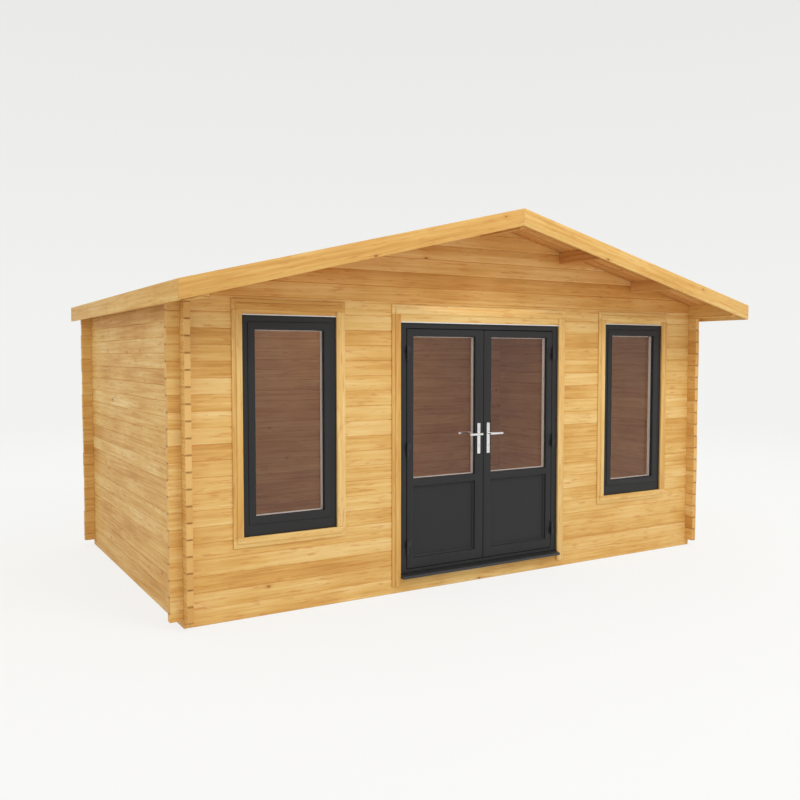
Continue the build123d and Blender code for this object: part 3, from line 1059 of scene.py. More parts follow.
class GeometrySheet(NodeSheet):
    """A Geometry Nodes tree with named inputs, run to a plain mesh."""

    def __init__(self, name: str, inputs: dict[str, str]) -> None:
        """Makes the tree and its inputs.

        Args:
            name: Name of the tree.
            inputs: Kind of socket for each named input.
        """
        super().__init__(bpy.data.node_groups.new(name, "GeometryNodeTree"))
        face = self.tree.interface
        face.new_socket("Geometry", in_out="OUTPUT", socket_type="NodeSocketGeometry")
        self.keys = {
            word: face.new_socket(word, in_out="INPUT", socket_type=kind).identifier
            for word, kind in inputs.items()
        }
        self.source = self.add("NodeGroupInput").outputs

    def close(self, geometry: bpy.types.NodeSocket) -> None:
        """Gives each instance its number, then realizes it and sets its finish.

        Args:
            geometry: The instances.
        """
        chance = self.add(
            "FunctionNodeRandomValue", {"data_type": "FLOAT"}, {"Seed": self.source["Seed"]}
        ).outputs[1]
        named = self.add(
            "GeometryNodeStoreNamedAttribute",
            {"data_type": "FLOAT", "domain": "INSTANCE"},
            {"Geometry": geometry, "Name": "piece", "Value": chance},
        )
        real = self.add("GeometryNodeRealizeInstances", None, {0: named.outputs[0]})
        done = self.add(
            "GeometryNodeSetMaterial",
            None,
            {"Geometry": real.outputs[0], "Material": self.source["Finish"]},
        )
        self.add("NodeGroupOutput", None, {0: done.outputs[0]})

    def run(self, name: str, values: dict) -> bpy.types.Mesh:
        """Runs the tree once.

        Args:
            name: Name of the mesh.
            values: Value of each named input.

        Returns:
            The plain mesh.
        """
        carrier = bpy.data.objects.new(name, bpy.data.meshes.new(name))
        bpy.context.scene.collection.objects.link(carrier)
        modifier = carrier.modifiers.new("row", "NODES")
        modifier.node_group = self.tree
        for word, value in values.items():
            modifier[self.keys[word]] = value
        bpy.context.view_layer.update()
        evaluated = carrier.evaluated_get(bpy.context.evaluated_depsgraph_get())
        made = bpy.data.meshes.new_from_object(evaluated)
        carrier.modifiers.remove(modifier)
        bpy.data.objects.remove(carrier)
        return made


class BoardRow(GeometrySheet):
    """Boards with eased edges, side by side."""

    def __init__(self) -> None:
        """Builds the tree."""
        super().__init__(
            "board_row",
            {
                "Start": "NodeSocketVector",
                "End": "NodeSocketVector",
                "Step": "NodeSocketVector",
                "Count": "NodeSocketInt",
                "Width": "NodeSocketFloat",
                "Thickness": "NodeSocketFloat",
                "Edge": "NodeSocketFloat",
                "Seed": "NodeSocketInt",
                "Finish": "NodeSocketMaterial",
            },
        )
        source = self.source
        section = self.add(
            "GeometryNodeCurvePrimitiveQuadrilateral",
            None,
            {"Width": source["Width"], "Height": source["Thickness"]},
        )
        eased = self.add(
            "GeometryNodeFilletCurve", None, {"Curve": section.outputs[0], "Radius": source["Edge"]}
        )
        line = self.add(
            "GeometryNodeCurvePrimitiveLine", None, {"Start": source["Start"], "End": source["End"]}
        )
        board = self.add(
            "GeometryNodeCurveToMesh",
            None,
            {"Curve": line.outputs[0], "Profile Curve": eased.outputs[0], "Fill Caps": True},
        )
        places = self.add(
            "GeometryNodeMeshLine", None, {"Count": source["Count"], "Offset": source["Step"]}
        )
        row = self.add(
            "GeometryNodeInstanceOnPoints",
            None,
            {"Points": places.outputs[0], "Instance": board.outputs[0]},
        )
        self.close(row.outputs[0])


class FixingRow(GeometrySheet):
    """Nail or screw heads in a straight row."""

    def __init__(self) -> None:
        """Builds the tree."""
        super().__init__(
            "fixing_row",
            {
                "Start": "NodeSocketVector",
                "Step": "NodeSocketVector",
                "Count": "NodeSocketInt",
                "Turn": "NodeSocketVector",
                "Radius": "NodeSocketFloat",
                "Rise": "NodeSocketFloat",
                "Seed": "NodeSocketInt",
                "Finish": "NodeSocketMaterial",
            },
        )
        source = self.source
        smaller = self.add("ShaderNodeMath", {"operation": "MULTIPLY"}, {0: source["Radius"], 1: 0.72})
        head = self.add(
            "GeometryNodeMeshCone",
            None,
            {
                "Vertices": 12,
                "Radius Top": smaller.outputs[0],
                "Radius Bottom": source["Radius"],
                "Depth": source["Rise"],
            },
        )
        places = self.add(
            "GeometryNodeMeshLine",
            None,
            {"Count": source["Count"], "Start Location": source["Start"], "Offset": source["Step"]},
        )
        turn = self.add("FunctionNodeEulerToRotation", None, {0: source["Turn"]})
        row = self.add(
            "GeometryNodeInstanceOnPoints",
            None,
            {"Points": places.outputs[0], "Instance": head.outputs[0], "Rotation": turn.outputs[0]},
        )
        self.close(row.outputs[0])


class Workshop:
    """Adds finished pieces to the cabin and keeps the trees that they share."""

    def __init__(self, finishes: Finishes) -> None:
        """Keeps the finishes and builds the trees."""
        self.finishes = finishes
        self.boards = BoardRow()
        self.fixings = FixingRow()

    def add(
        self,
        name: str,
        mesh: bpy.types.Mesh,
        body: Body,
        finish: bpy.types.Material,
        slot: str,
        replaces: tuple[str, ...] = (),
    ) -> None:
        """Adds one piece.

        Args:
            name: Name of the piece.
            mesh: Its mesh, in place.
            body: Body that it rides on.
            finish: Its material.
            slot: Not used.
            replaces: Frame nodes that it stands for.
        """
        mesh.materials.clear()
        mesh.materials.append(finish)
        piece = bpy.data.objects.new(name, mesh)
        bpy.context.scene.collection.objects.link(piece)
        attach(piece, body.value)
        if replaces:
            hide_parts(*replaces)
        LOGGER.info("%s: %d faces on %s", name, len(mesh.polygons), body.value)

    def eased(
        self,
        node: str,
        body: Body,
        finish: bpy.types.Material,
        slot: str,
        radius: float,
        steps: int = 2,
    ) -> list[tuple[Vector, Vector]]:
        """Replaces a frame node by a copy with eased edges.

        Args:
            node: The node.
            body: Body that it rides on.
            finish: Its material.
            slot: The record's slot for its finish.
            radius: Easing of the edges.
            steps: Faces across an edge.

        Returns:
            Lowest and highest corner of each solid.
        """
        shape = Shape(sum(map(ord, node)))
        boxes = shape.node(node, radius, steps)
        self.add(f"{node}_eased", shape.mesh(node), body, finish, slot, (node,))
        return boxes

    def dress(self, node: str, finish: bpy.types.Material) -> None:
        """Gives a frame node its finish.

        Args:
            node: The node.
            finish: Its material.
        """
        materials = frame["nodes"][node].data.materials
        materials.clear()
        materials.append(finish)
        LOGGER.info("%s: dressed with %s", node, finish.name)

    def row_of_fixings(
        self, start: Vector, end: Vector, count: int, turn: Point, radius: float, rise: float
    ) -> bpy.types.Mesh:
        """Makes a row of nail or screw heads.

        Args:
            start: Place of the first.
            end: Place of the last.
            count: How many.
            turn: Turn in radians from upright.
            radius: Radius of a head.
            rise: How far a head stands out.

        Returns:
            The plain mesh.
        """
        step = (end - start) / max(1, count - 1)
        values = {
            "Start": start[:],
            "Step": step[:],
            "Count": count,
            "Turn": turn,
            "Radius": radius,
            "Rise": rise,
            "Seed": 3,
            "Finish": self.finishes.nails,
        }
        return self.fixings.run("fixings", values)


@dataclass
class LogWalls:
    """Four walls of notched logs."""

    workshop: Workshop
    turns: tuple[str, ...] = ("odd", "even")
    end_ease: float = 0.004
    end_zone: float = 0.04
    end_play: float = 0.006
    smooth: float = 20.0

    def build(self) -> None:
        """Eases the ends of the logs of each wall and dresses them."""
        finishes = self.workshop.finishes
        for turn in self.turns:
            for wall in ("front", "back"):
                self._logs(f"{wall}_wall_{turn}_logs", 0, finishes.front_logs)
            for wall in ("left", "right"):
                self._logs(f"{wall}_wall_{turn}_logs", 1, finishes.side_logs)

    def _logs(self, node: str, axis: int, finish: bpy.types.Material) -> None:
        """Replaces the logs of one node by logs with eased ends.

        Args:
            node: The node.
            axis: Axis along which its logs lie.
            finish: Their material.
        """
        shape = Shape(sum(map(ord, node)))
        shape.node(node, 0.0)
        shape.ease_ends(axis, self.end_ease)
        low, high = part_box("left_wall_odd_logs" if axis else "front_wall_odd_logs")
        shape.vary_ends(axis, (low[axis], high[axis]), self.end_zone, self.end_play)
        mesh = shape.mesh(node, self.smooth)
        self.workshop.add(f"{node}_eased", mesh, Body.CABIN, finish, "pine_logs", (node,))


@dataclass
class Floor:
    """Boarded floor on joists."""

    workshop: Workshop
    boards: int = 24
    gap: float = 0.0012
    edge: float = 0.0018

    def build(self) -> None:
        """Lays the boards and dresses the joists."""
        finish = self.workshop.finishes.boards[Grain.LEVEL]
        low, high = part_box("floor_boards")
        pitch = (high.y - low.y) / self.boards
        middle = (low.z + high.z) / 2
        values = {
            "Start": (low.x, low.y + pitch / 2, middle),
            "End": (high.x, low.y + pitch / 2, middle),
            "Step": (0.0, pitch, 0.0),
            "Count": self.boards,
            "Width": pitch - self.gap,
            "Thickness": high.z - low.z,
            "Edge": self.edge,
            "Seed": 5,
            "Finish": finish,
        }
        mesh = self.workshop.boards.run("floor_planks", values)
        self.workshop.add("floor_planks", mesh, Body.CABIN, finish, "floor_timber", ("floor_boards",))
        self.workshop.dress("floor_joists", self.workshop.finishes.boards[Grain.LENGTHWISE])


@dataclass
class Roof:
    """Two boarded slopes with felt, purlins, and boards along their edges."""

    workshop: Workshop
    pitch: float = math.radians(ROOF_PITCH)
    deck: float = 0.019
    boards: int = 36
    gap: float = 0.001
    edge: float = 0.003
    ease: float = 0.002
    purlin_ease: float = 0.003
    ridge_gap: float = 0.003
    eaves_gap: float = 0.001
    felt: float = 0.003
    felt_start: float = 0.004
    felt_gap: float = 0.006
    strip_ends: tuple[float, ...] = (0.34, 0.67, 1.0)
    bend: float = 0.03
    lap: float = 0.08
    cap: float = 0.21
    nail_pitch: float = 0.075
    nail_inset: float = 0.03
    nail_lift: float = 0.0006
    felt_nail: tuple[float, float] = (0.005, 0.0014)
    board_nail: tuple[float, float] = (0.0034, 0.001)
    nail_pair: float = 0.066
    fascia_nails: int = 9
    fascia_inset: float = 0.08
    fascia_drop: float = 0.04
    purlins: tuple[float, ...] = (0.022, 0.800, 1.634, 2.388)

    def __post_init__(self) -> None:
        """Reads the slopes' places from the frame."""
        low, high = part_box("right_roof_boards")
        self.front = low.y
        self.back = high.y
        self.eaves = high.x
        self.ridge = high.z - self.deck / math.cos(self.pitch)

    def build(self) -> None:
        """Builds both slopes."""
        finishes = self.workshop.finishes
        for side in Side:
            self._boards(side)
            self._felt(side)
            for end in ("front", "back"):
                node = f"{end}_{side.word}_bargeboard"
                finish = finishes.boards[side.slope]
                self.workshop.eased(node, Body.CABIN, finish, "pine_boards", self.ease)
            node = f"{side.word}_eaves_fascia"
            finish = finishes.boards[Grain.LENGTHWISE]
            self.workshop.eased(node, Body.CABIN, finish, "pine_boards", self.ease)
        # The purlins' darker roof pine is painted shade under the roof
        finish = finishes.roof[Grain.LENGTHWISE]
        for node in ("left_purlins", "ridge_purlin", "right_purlins"):
            self.workshop.eased(node, Body.CABIN, finish, "roof_timber", self.purlin_ease)
        self._cap()
        self._board_nails()

    def at(self, side: Side, run: float, rise: float) -> tuple[float, float]:
        """Gives a place on a slope.

        Args:
            side: The slope.
            run: Distance down the slope from the ridge.
            rise: Height square to the underside of the boards.

        Returns:
            The place in X and Z.
        """
        cos, sin = math.cos(self.pitch), math.sin(self.pitch)
        return side.value * (run * cos + rise * sin), self.ridge - run * sin + rise * cos

    def _boards(self, side: Side) -> None:
        """Lays the boards of one slope from ridge to eaves.

        Args:
            side: The slope.
        """
        # The roof boards' darker roof pine is painted shade under the roof
        finish = self.workshop.finishes.roof[side.slope]
        pitch = (self.back - self.front) / self.boards
        end = (self.eaves - self.deck * math.sin(self.pitch)) / math.cos(self.pitch)
        first = self.at(side, self.ridge_gap, self.deck / 2)
        last = self.at(side, end - self.eaves_gap, self.deck / 2)
        place = self.front + pitch / 2
        values = {
            "Start": (first[0], place, first[1]),
            "End": (last[0], place, last[1]),
            "Step": (0.0, pitch, 0.0),
            "Count": self.boards,
            "Width": pitch - self.gap,
            "Thickness": self.deck,
            "Edge": self.edge,
            "Seed": 7 if side is Side.LEFT else 8,
            "Finish": finish,
        }
        name = f"{side.word}_roof_planks"
        mesh = self.workshop.boards.run(name, values)
        replaced = (f"{side.word}_roof_boards",)
        self.workshop.add(name, mesh, Body.CABIN, finish, "roof_timber", replaced)

    def _felt(self, side: Side) -> None:
        """Lays three lapped strips of felt on one slope, nailed along their laps.

        Args:
            side: The slope.
        """
        length = self.eaves / math.cos(self.pitch) - self.felt_gap
        ends = [self.felt_start, *(length * share for share in self.strip_ends)]
        low, high = self.deck, self.deck + self.felt
        shape = Shape(11)
        nails = Shape(12)
        for start, end in zip(ends, ends[1:]):
            path = [(start, low), (end - self.bend, low)]
            if end < length:
                path += [(end, high), (end + self.lap, high)]
            else:
                path += [(end, low)]
            upper = [(run, rise + self.felt) for run, rise in reversed(path)]
            outline = [self.at(side, run, rise) for run, rise in path + upper]
            shape.prism(outline, self.front, self.back)
            reach, level = path[-1]
            spot = self.at(side, reach - self.bend, level + self.felt + self.nail_lift)
            nails.join(self._felt_nails(side, spot))
        finishes = self.workshop.finishes
        node = f"{side.word}_roof_felt"
        mesh = shape.mesh(node)
        self.workshop.add(f"{node}_strips", mesh, Body.CABIN, finishes.felt, "roof_felt", (node,))
        mesh = nails.mesh(node)
        self.workshop.add(f"{node}_nails", mesh, Body.CABIN, finishes.nails, "hinge_metal")

    def _felt_nails(self, side: Side, spot: tuple[float, float]) -> bpy.types.Mesh:
        """Makes the nails along one lap.

        Args:
            side: The slope.
            spot: Place in X and Z.

        Returns:
            The plain mesh.
        """
        start = Vector((spot[0], self.front + self.nail_inset, spot[1]))
        end = Vector((spot[0], self.back - self.nail_inset, spot[1]))
        count = int((self.back - self.front) / self.nail_pitch)
        turn = (0.0, side.value * self.pitch, 0.0)
        return self.workshop.row_of_fixings(start, end, count, turn, *self.felt_nail)

    def _cap(self) -> None:
        """Bends a strip of felt over the ridge."""
        low, high = self.deck + self.felt, self.deck + 2 * self.felt
        cos = math.cos(self.pitch)
        outline = [
            self.at(Side.LEFT, self.cap, low),
            (0.0, self.ridge + low / cos),
            self.at(Side.RIGHT, self.cap, low),
            self.at(Side.RIGHT, self.cap, high),
            (0.0, self.ridge + high / cos),
            self.at(Side.LEFT, self.cap, high),
        ]
        shape = Shape(13)
        shape.prism(outline, self.front, self.back)
        mesh = shape.mesh("ridge_felt_cap")
        finish = self.workshop.finishes.felt
        self.workshop.add("ridge_felt_cap", mesh, Body.CABIN, finish, "roof_felt")

    def _board_nails(self) -> None:
        """Nails the end boards to the purlins and the fascias to the roof boards."""
        nails = Shape(14)
        turns = {"front": (math.radians(90), 0.0, 0.0), "back": (math.radians(-90), 0.0, 0.0)}
        for side in Side:
            for end, turn in turns.items():
                low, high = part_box(f"{end}_{side.word}_bargeboard")
                face = low.y - SKIN if end == "front" else high.y + SKIN
                top = high.z - self.nail_inset
                for place in self.purlins:
                    drop = place * math.tan(self.pitch)
                    start = Vector((side.value * place, face, top - drop))
                    stop = start - Vector((0, 0, self.nail_pair))
                    nails.join(self.workshop.row_of_fixings(start, stop, 2, turn, *self.board_nail))
            low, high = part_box(f"{side.word}_eaves_fascia")
            face = low.x - SKIN if side is Side.LEFT else high.x + SKIN
            level = high.z - self.fascia_drop
            start = Vector((face, low.y + self.fascia_inset, level))
            stop = Vector((face, high.y - self.fascia_inset, level))
            turn = (0.0, side.value * math.radians(90), 0.0)
            count = self.fascia_nails
            nails.join(self.workshop.row_of_fixings(start, stop, count, turn, *self.board_nail))
        mesh = nails.mesh("roof_board_nails")
        finish = self.workshop.finishes.nails
        self.workshop.add("roof_board_nails", mesh, Body.CABIN, finish, "hinge_metal")


@dataclass
class Trims:
    """Boards round the openings, with their nails."""

    workshop: Workshop
    ease: float = 0.0025
    raised: float = 0.043
    step: float = 0.028
    thin: float = 0.010
    drip: float = 0.007
    drip_thick: float = 0.003
    drip_gap: float = 0.0005
    drip_ease: float = 0.0008
    nail: float = 0.0024
    nail_rise: float = 0.0009
    nail_inset: float = 0.045
    pitch: float = 0.42

    def build(self) -> None:
        """Eases the boards and nails them."""
        finishes = self.workshop.finishes
        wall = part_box("front_wall_odd_logs")[0].y
        nails = Shape(21)
        for node, grain in (
            ("trim_uprights", Grain.UPRIGHT),
            ("trim_heads", Grain.LEVEL),
            ("trim_aprons", Grain.LEVEL),
        ):
            finish = finishes.boards[grain]
            boxes = self.workshop.eased(node, Body.CABIN, finish, "pine_boards", self.ease)
            for low, high in boxes:
                nails.join(self._nails(low, high, low.y < wall))
            if node == "trim_heads":
                self._drips([pair for pair in boxes if pair[0].y < wall], wall)
        mesh = nails.mesh("trim_nails")
        self.workshop.add("trim_nails", mesh, Body.CABIN, finishes.nails, "hinge_metal")

    def _drips(self, boxes: list[tuple[Vector, Vector]], wall: float) -> None:
        """Adds a thin white drip strip over each frame, along the foot of its head board.

        Args:
            boxes: Lowest and highest corner of each outer head board.
            wall: Outer face of the wall in Y.
        """
        shape = Shape(22)
        side = self.raised + self.step + self.drip_gap
        face = wall - self.thin
        for low, high in boxes:
            shape.box(
                (low.x + side, face - self.drip_thick, low.z - self.drip_gap),
                (high.x - side, face - SKIN, low.z + self.drip),
                self.drip_ease,
            )
        mesh = shape.mesh("head_drips")
        finish = self.workshop.finishes.white
        self.workshop.add("head_drips", mesh, Body.CABIN, finish, "anthracite_frame")

    def _nails(self, low: Vector, high: Vector, outside: bool) -> bpy.types.Mesh:
        """Makes the nails of one board.

        Args:
            low: Lowest corner of the board.
            high: Highest corner of the board.
            outside: True on the outer face of the wall.

        Returns:
            The plain mesh.
        """
        axis = 2 if high.z - low.z > high.x - low.x else 0
        middle = (low + high) / 2
        if outside:
            self._to_raised_part(middle, low, high, axis)
        start = middle.copy()
        end = middle.copy()
        start[axis] = low[axis] + self.nail_inset
        end[axis] = high[axis] - self.nail_inset
        face = low.y - SKIN if outside else high.y + SKIN
        start.y = face
        end.y = face
        count = max(2, round((end[axis] - start[axis]) / self.pitch) + 1)
        turn = (math.radians(90 if outside else -90), 0.0, 0.0)
        return self.workshop.row_of_fixings(start, end, count, turn, self.nail, self.nail_rise)

    def _to_raised_part(self, middle: Vector, low: Vector, high: Vector, axis: int) -> None:
        """Moves a board's middle onto its raised part, which lies next to the frame.

        Args:
            middle: Middle of the board, changed in place.
            low: Lowest corner of the board.
            high: Highest corner of the board.
            axis: Axis along which the board lies.
        """
        frames = ("left_window_frame", "door_frame", "right_window_frame")
        boxes = [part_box(node) for node in frames]
        if axis == 2:
            sides = [corner.x for box in boxes for corner in box]
            near = min((low.x, high.x), key=lambda x: min(abs(x - side) for side in sides))
            middle.x = near + math.copysign(self.raised / 2, middle.x - near)
        elif high.z > boxes[1][1].z:
            middle.z = high.z - self.step - self.raised / 2
        else:
            middle.z = high.z - self.raised / 2


@dataclass
class SealedGlass:
    """Two panes with a spacer bar between them, a seal outside and a bead inside."""

    workshop: Workshop
    node: str
    body: Body
    pane: float = 0.004
    pane_ease: float = 0.0004
    cover: float = 0.010
    edge_gap: float = 0.0003
    spacer_edge: float = 0.003
    spacer: float = 0.004
    seal: float = 0.0042
    seal_thick: float = 0.0045
    seal_lip: float = 0.0012
    bead: float = 0.008
    bead_thick: float = 0.008
    bead_lip: float = 0.004
    bead_slant: float = 0.001

    def build(self) -> None:
        """Builds the unit in its node's place."""
        low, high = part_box(self.node)
        finishes = self.workshop.finishes
        panes = Shape(31)
        panes.box(low, (high.x, low.y + self.pane, high.z), self.pane_ease, 1)
        panes.box((low.x, high.y - self.pane, low.z), high, self.pane_ease, 1)
        mesh = panes.mesh(self.node)
        replaced = (self.node,)
        self.workshop.add(f"{self.node}_panes", mesh, self.body, finishes.glass, "glass", replaced)
        front, back = low.y + self.pane + SKIN, high.y - self.pane - SKIN
        outer, inner = self.spacer_edge, self.cover + self.spacer
        profile = [(outer, front), (inner, front), (inner, back), (outer, back)]
        self._frame("spacer", 32, profile, finishes.white, "chrome")
        edge, lip = self.cover + self.edge_gap, self.cover + self.seal
        profile = [
            (edge, low.y - self.seal_thick),
            (lip, low.y - self.seal_lip),
            (lip, low.y - SKIN),
            (edge, low.y - SKIN),
        ]
        self._frame("seal", 33, profile, finishes.rubber, "hinge_metal")
        lip = edge + self.bead
        profile = [
            (edge, high.y + SKIN),
            (lip, high.y + SKIN),
            (lip - self.bead_slant, high.y + self.bead_lip),
            (edge, high.y + self.bead_thick),
        ]
        self._frame("bead", 34, profile, finishes.foil, "anthracite_frame")

    def _frame(
        self,
        word: str,
        seed: int,
        profile: list[tuple[float, float]],
        finish: bpy.types.Material,
        slot: str,
    ) -> None:
        """Adds a mitred frame that runs round the unit.

        Args:
            word: End of the piece's name.
            seed: Start of the shape's numbers.
            profile: Section as steps inwards and places in depth.
            finish: Its material.
            slot: The record's slot for its finish.
        """
        low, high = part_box(self.node)
        name = f"{self.node}_{word}"
        shape = Shape(seed)
        shape.mitred(low, high, profile)
        self.workshop.add(name, shape.mesh(name), self.body, finish, slot)


@dataclass
class Windows:
    """Two tall fixed windows."""

    workshop: Workshop
    ease: float = 0.003

    def build(self) -> None:
        """Builds frame, sash and glass on both sides."""
        foil = self.workshop.finishes.foil
        for side in Side:
            for part in ("frame", "sash"):
                node = f"{side.word}_window_{part}"
                self.workshop.eased(node, Body.CABIN, foil, "anthracite_frame", self.ease, 3)
            SealedGlass(self.workshop, f"{side.word}_window_glass", Body.CABIN).build()


@dataclass
class Handle:
    """Slim plates on both faces of a leaf, with a lever on each."""

    workshop: Workshop
    side: Side
    plate: float = 0.010
    plate_ease: float = 0.0045
    lock_drop: float = 0.092
    lock_radius: float = 0.0085
    lock_half: float = 0.005
    lock_length: float = 0.024
    lock_sunk: float = 0.002
    lock_proud: float = 0.003
    hub: float = 0.010
    neck: float = 0.0075
    neck_inset: float = 0.006
    lever_height: float = 0.019
    lever_thick: float = 0.012
    lever_ease: float = 0.0055

    def build(self) -> None:
        """Builds plates, lock and levers."""
        self._plates()
        self._levers()

    def _plates(self) -> None:
        """Builds the plates with a collar and a lock on each."""
        node = f"{self.side.word}_handle_plates"
        low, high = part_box(node)
        lever_low, lever_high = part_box(f"{self.side.word}_lever")
        spindle = (lever_low.z + lever_high.z) / 2
        middle = (low.x + high.x) / 2
        lock = spindle - self.lock_drop
        shape = Shape(41)
        for face, way in ((low.y, 1), (high.y, -1)):
            ends = sorted((face, face + way * self.plate))
            shape.box((low.x, ends[0], low.z), (high.x, ends[1], high.z), self.plate_ease, 4)
            sunk, proud = face + way * self.lock_sunk, face - way * self.lock_proud
            shape.bar((middle, sunk, lock), (middle, proud, lock), self.lock_radius, 24, 0.0008)
            ends = sorted((sunk, proud))
            shape.box(
                (middle - self.lock_half, ends[0], lock - self.lock_length),
                (middle + self.lock_half, ends[1], lock),
                0.002,
                2,
            )
        mesh = shape.mesh(node)
        finish = self.workshop.finishes.chrome
        self.workshop.add(f"{node}_bright", mesh, self.side.door, finish, "chrome", (node,))

    def _levers(self) -> None:
        """Builds both levers on their spindle."""
        node = f"{self.side.word}_lever"
        low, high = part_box(node)
        spindle = (low.z + high.z) / 2
        sign = self.side.value
        tip = low.x if sign < 0 else high.x
        root = high.x if sign < 0 else low.x
        axis = root + sign * self.hub
        front, back = low.y + self.neck_inset, high.y - self.neck_inset
        shape = Shape(42)
        shape.bar((axis, front, spindle), (axis, back, spindle), self.neck, 32)
        sides = sorted((root, tip))
        bottom, top = spindle - self.lever_height / 2, spindle + self.lever_height / 2
        for near, way in ((low.y, 1), (high.y, -1)):
            ends = sorted((near, near + way * self.lever_thick))
            shape.box((sides[0], ends[0], bottom), (sides[1], ends[1], top), self.lever_ease, 4)
        mesh = shape.mesh(node)
        finish = self.workshop.finishes.chrome
        self.workshop.add(f"{node}_bright", mesh, self.side.handle, finish, "chrome", (node,))


@dataclass
class Hinges:
    """Three hinges on each leaf: a sleeve on the leaf above a knuckle on the frame."""

    workshop: Workshop
    radius: float = 0.009
    ease: float = 0.0012
    slot: float = 0.001
    plate: float = 0.003
    plate_width: float = 0.036
    plate_inset: float = 0.0005
    web: float = 0.006
    web_gap: float = 0.002
    web_inset: float = 0.001
    set_off: float = 0.016
    screw_share: float = 0.64
    screw_inset: float = 0.011
    screw_radius: float = 0.0038
    screw_sunk: float = 0.001
    screw_rise: float = 0.0009

    def build(self) -> None:
        """Builds the halves on the leaves and those on the frame."""
        finish = self.workshop.finishes.steel
        fixed = Shape(51)
        for side in Side:
            node = f"{side.word}_leaf_hinges"
            shape = Shape(52)
            name = f"{side.word}_door_hinge"
            joint = next(row for row in frame["joints"] if row["name"] == name)
            axis = Vector(joint["pos_m"])
            for start, end in self._sleeves(node):
                self._half(shape, axis, start, end, -side.value)
                middle = start - self.slot
                self._half(fixed, axis, middle - (end - start), middle, side.value)
            mesh = shape.mesh(node)
            self.workshop.add(f"{node}_dark", mesh, side.door, finish, "hinge_metal", (node,))
        mesh = fixed.mesh("frame_hinges")
        replaced = ("frame_hinges",)
        self.workshop.add("frame_hinges_dark", mesh, Body.CABIN, finish, "hinge_metal", replaced)

    @staticmethod
    def _sleeves(node: str) -> list[tuple[float, float]]:
        """Reads the height of each sleeve from the frame.

        Args:
            node: The leaf's hinges.

        Returns:
            Lower and upper end of each sleeve.
        """
        shape = Shape()
        boxes = shape.node(node, 0.0)
        shape.work.free()
        return sorted((low.z, high.z) for low, high in boxes)

    def _half(self, shape: Shape, axis: Vector, start: float, end: float, way: int) -> None:
        """Adds one half of a hinge.

        Args:
            shape: Mesh that it goes to.
            axis: A point on the hinge's axis.
            start: Lower end.
            end: Upper end.
            way: Sign of X from the axis towards its plate.
        """
        shape.bar((axis.x, axis.y, start), (axis.x, axis.y, end), self.radius, 32, self.ease)
        wall = axis.y + self.set_off
        near = axis.x + way * self.web_gap
        sides = sorted((near, near + way * self.web))
        shape.box(
            (sides[0], axis.y, start + self.web_inset),
            (sides[1], wall - self.web_inset, end - self.web_inset),
            0.0008,
            2,
        )
        face = wall - self.plate
        sides = sorted((near, near + way * self.plate_width))
        shape.box(
            (sides[0], face, start + self.plate_inset),
            (sides[1], wall, end - self.plate_inset),
            0.001,
            2,
        )
        screw = near + way * self.plate_width * self.screw_share
        for height in (start + self.screw_inset, end - self.screw_inset):
            inner = (screw, face + self.screw_sunk, height)
            outer = (screw, face - self.screw_rise, height)
            shape.bar(inner, outer, self.screw_radius, 16, 0.0005)


@dataclass
class Doorway:
    """Frame, sill and two half-glazed leaves."""

    workshop: Workshop
    ease: float = 0.003
    sill_ease: float = 0.004
    bead: float = 0.013
    bead_edge: float = 0.0102
    bead_rise: float = 0.010
    bead_flat: float = 0.003
    bead_foot: float = 0.003
    bead_sunk: float = 0.001
    strip_room: float = 0.0042
    strip_back: float = 0.0015
    strip_depth: float = 0.020
    strip_inset: float = 0.001
    strip_ease: float = 0.0015

    def build(self) -> None:
        """Builds the doorway."""
        finishes = self.workshop.finishes
        slot = "anthracite_frame"
        self.workshop.eased("door_frame", Body.CABIN, finishes.rebate, slot, self.ease, 3)
        self.workshop.eased("door_sill", Body.CABIN, finishes.sill, slot, self.sill_ease, 3)
        for side in Side:
            node = f"{side.word}_leaf_frame"
            self.workshop.eased(node, side.door, finishes.foil, slot, self.ease, 3)
            SealedGlass(self.workshop, f"{side.word}_leaf_glass", side.door).build()
            self._panel(side)
            Handle(self.workshop, side).build()
        self._meeting_strip()
        Hinges(self.workshop).build()

    def _meeting_strip(self) -> None:
        """Closes the gap between the leaves, with room for the right one to swing past."""
        low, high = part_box("left_leaf_frame")
        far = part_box("right_leaf_frame")[0].x - self.strip_room
        front = low.y + self.strip_back
        shape = Shape(62)
        shape.box(
            (high.x - 0.0001, front, low.z + self.strip_inset),
            (far, front + self.strip_depth, high.z - self.strip_inset),
            self.strip_ease,
            2,
        )
        name = "left_leaf_meeting_strip"
        finish = self.workshop.finishes.foil
        self.workshop.add(name, shape.mesh(name), Body.LEFT_DOOR, finish, "anthracite_frame")

    def _panel(self, side: Side) -> None:
        """Builds the lower panel with a bead round its field on both faces.

        Args:
            side: The leaf's side.
        """
        node = f"{side.word}_leaf_panel"
        low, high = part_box(node)
        shape = Shape(61)
        shape.box(low, high, 0.001, 1)
        start, end = self.bead_edge, self.bead_edge + self.bead
        for face, way in ((low.y, -1), (high.y, 1)):
            sunk, top = face - way * self.bead_sunk, face + way * self.bead_rise
            profile = [
                (start, sunk),
                (start, top),
                (start + self.bead_flat, top),
                (end, face + way * self.bead_foot),
                (end, sunk),
            ]
            shape.mitred(low, high, profile)
        mesh = shape.mesh(node)
        finish = self.workshop.finishes.foil
        self.workshop.add(f"{node}_beaded", mesh, side.door, finish, "anthracite_frame", (node,))


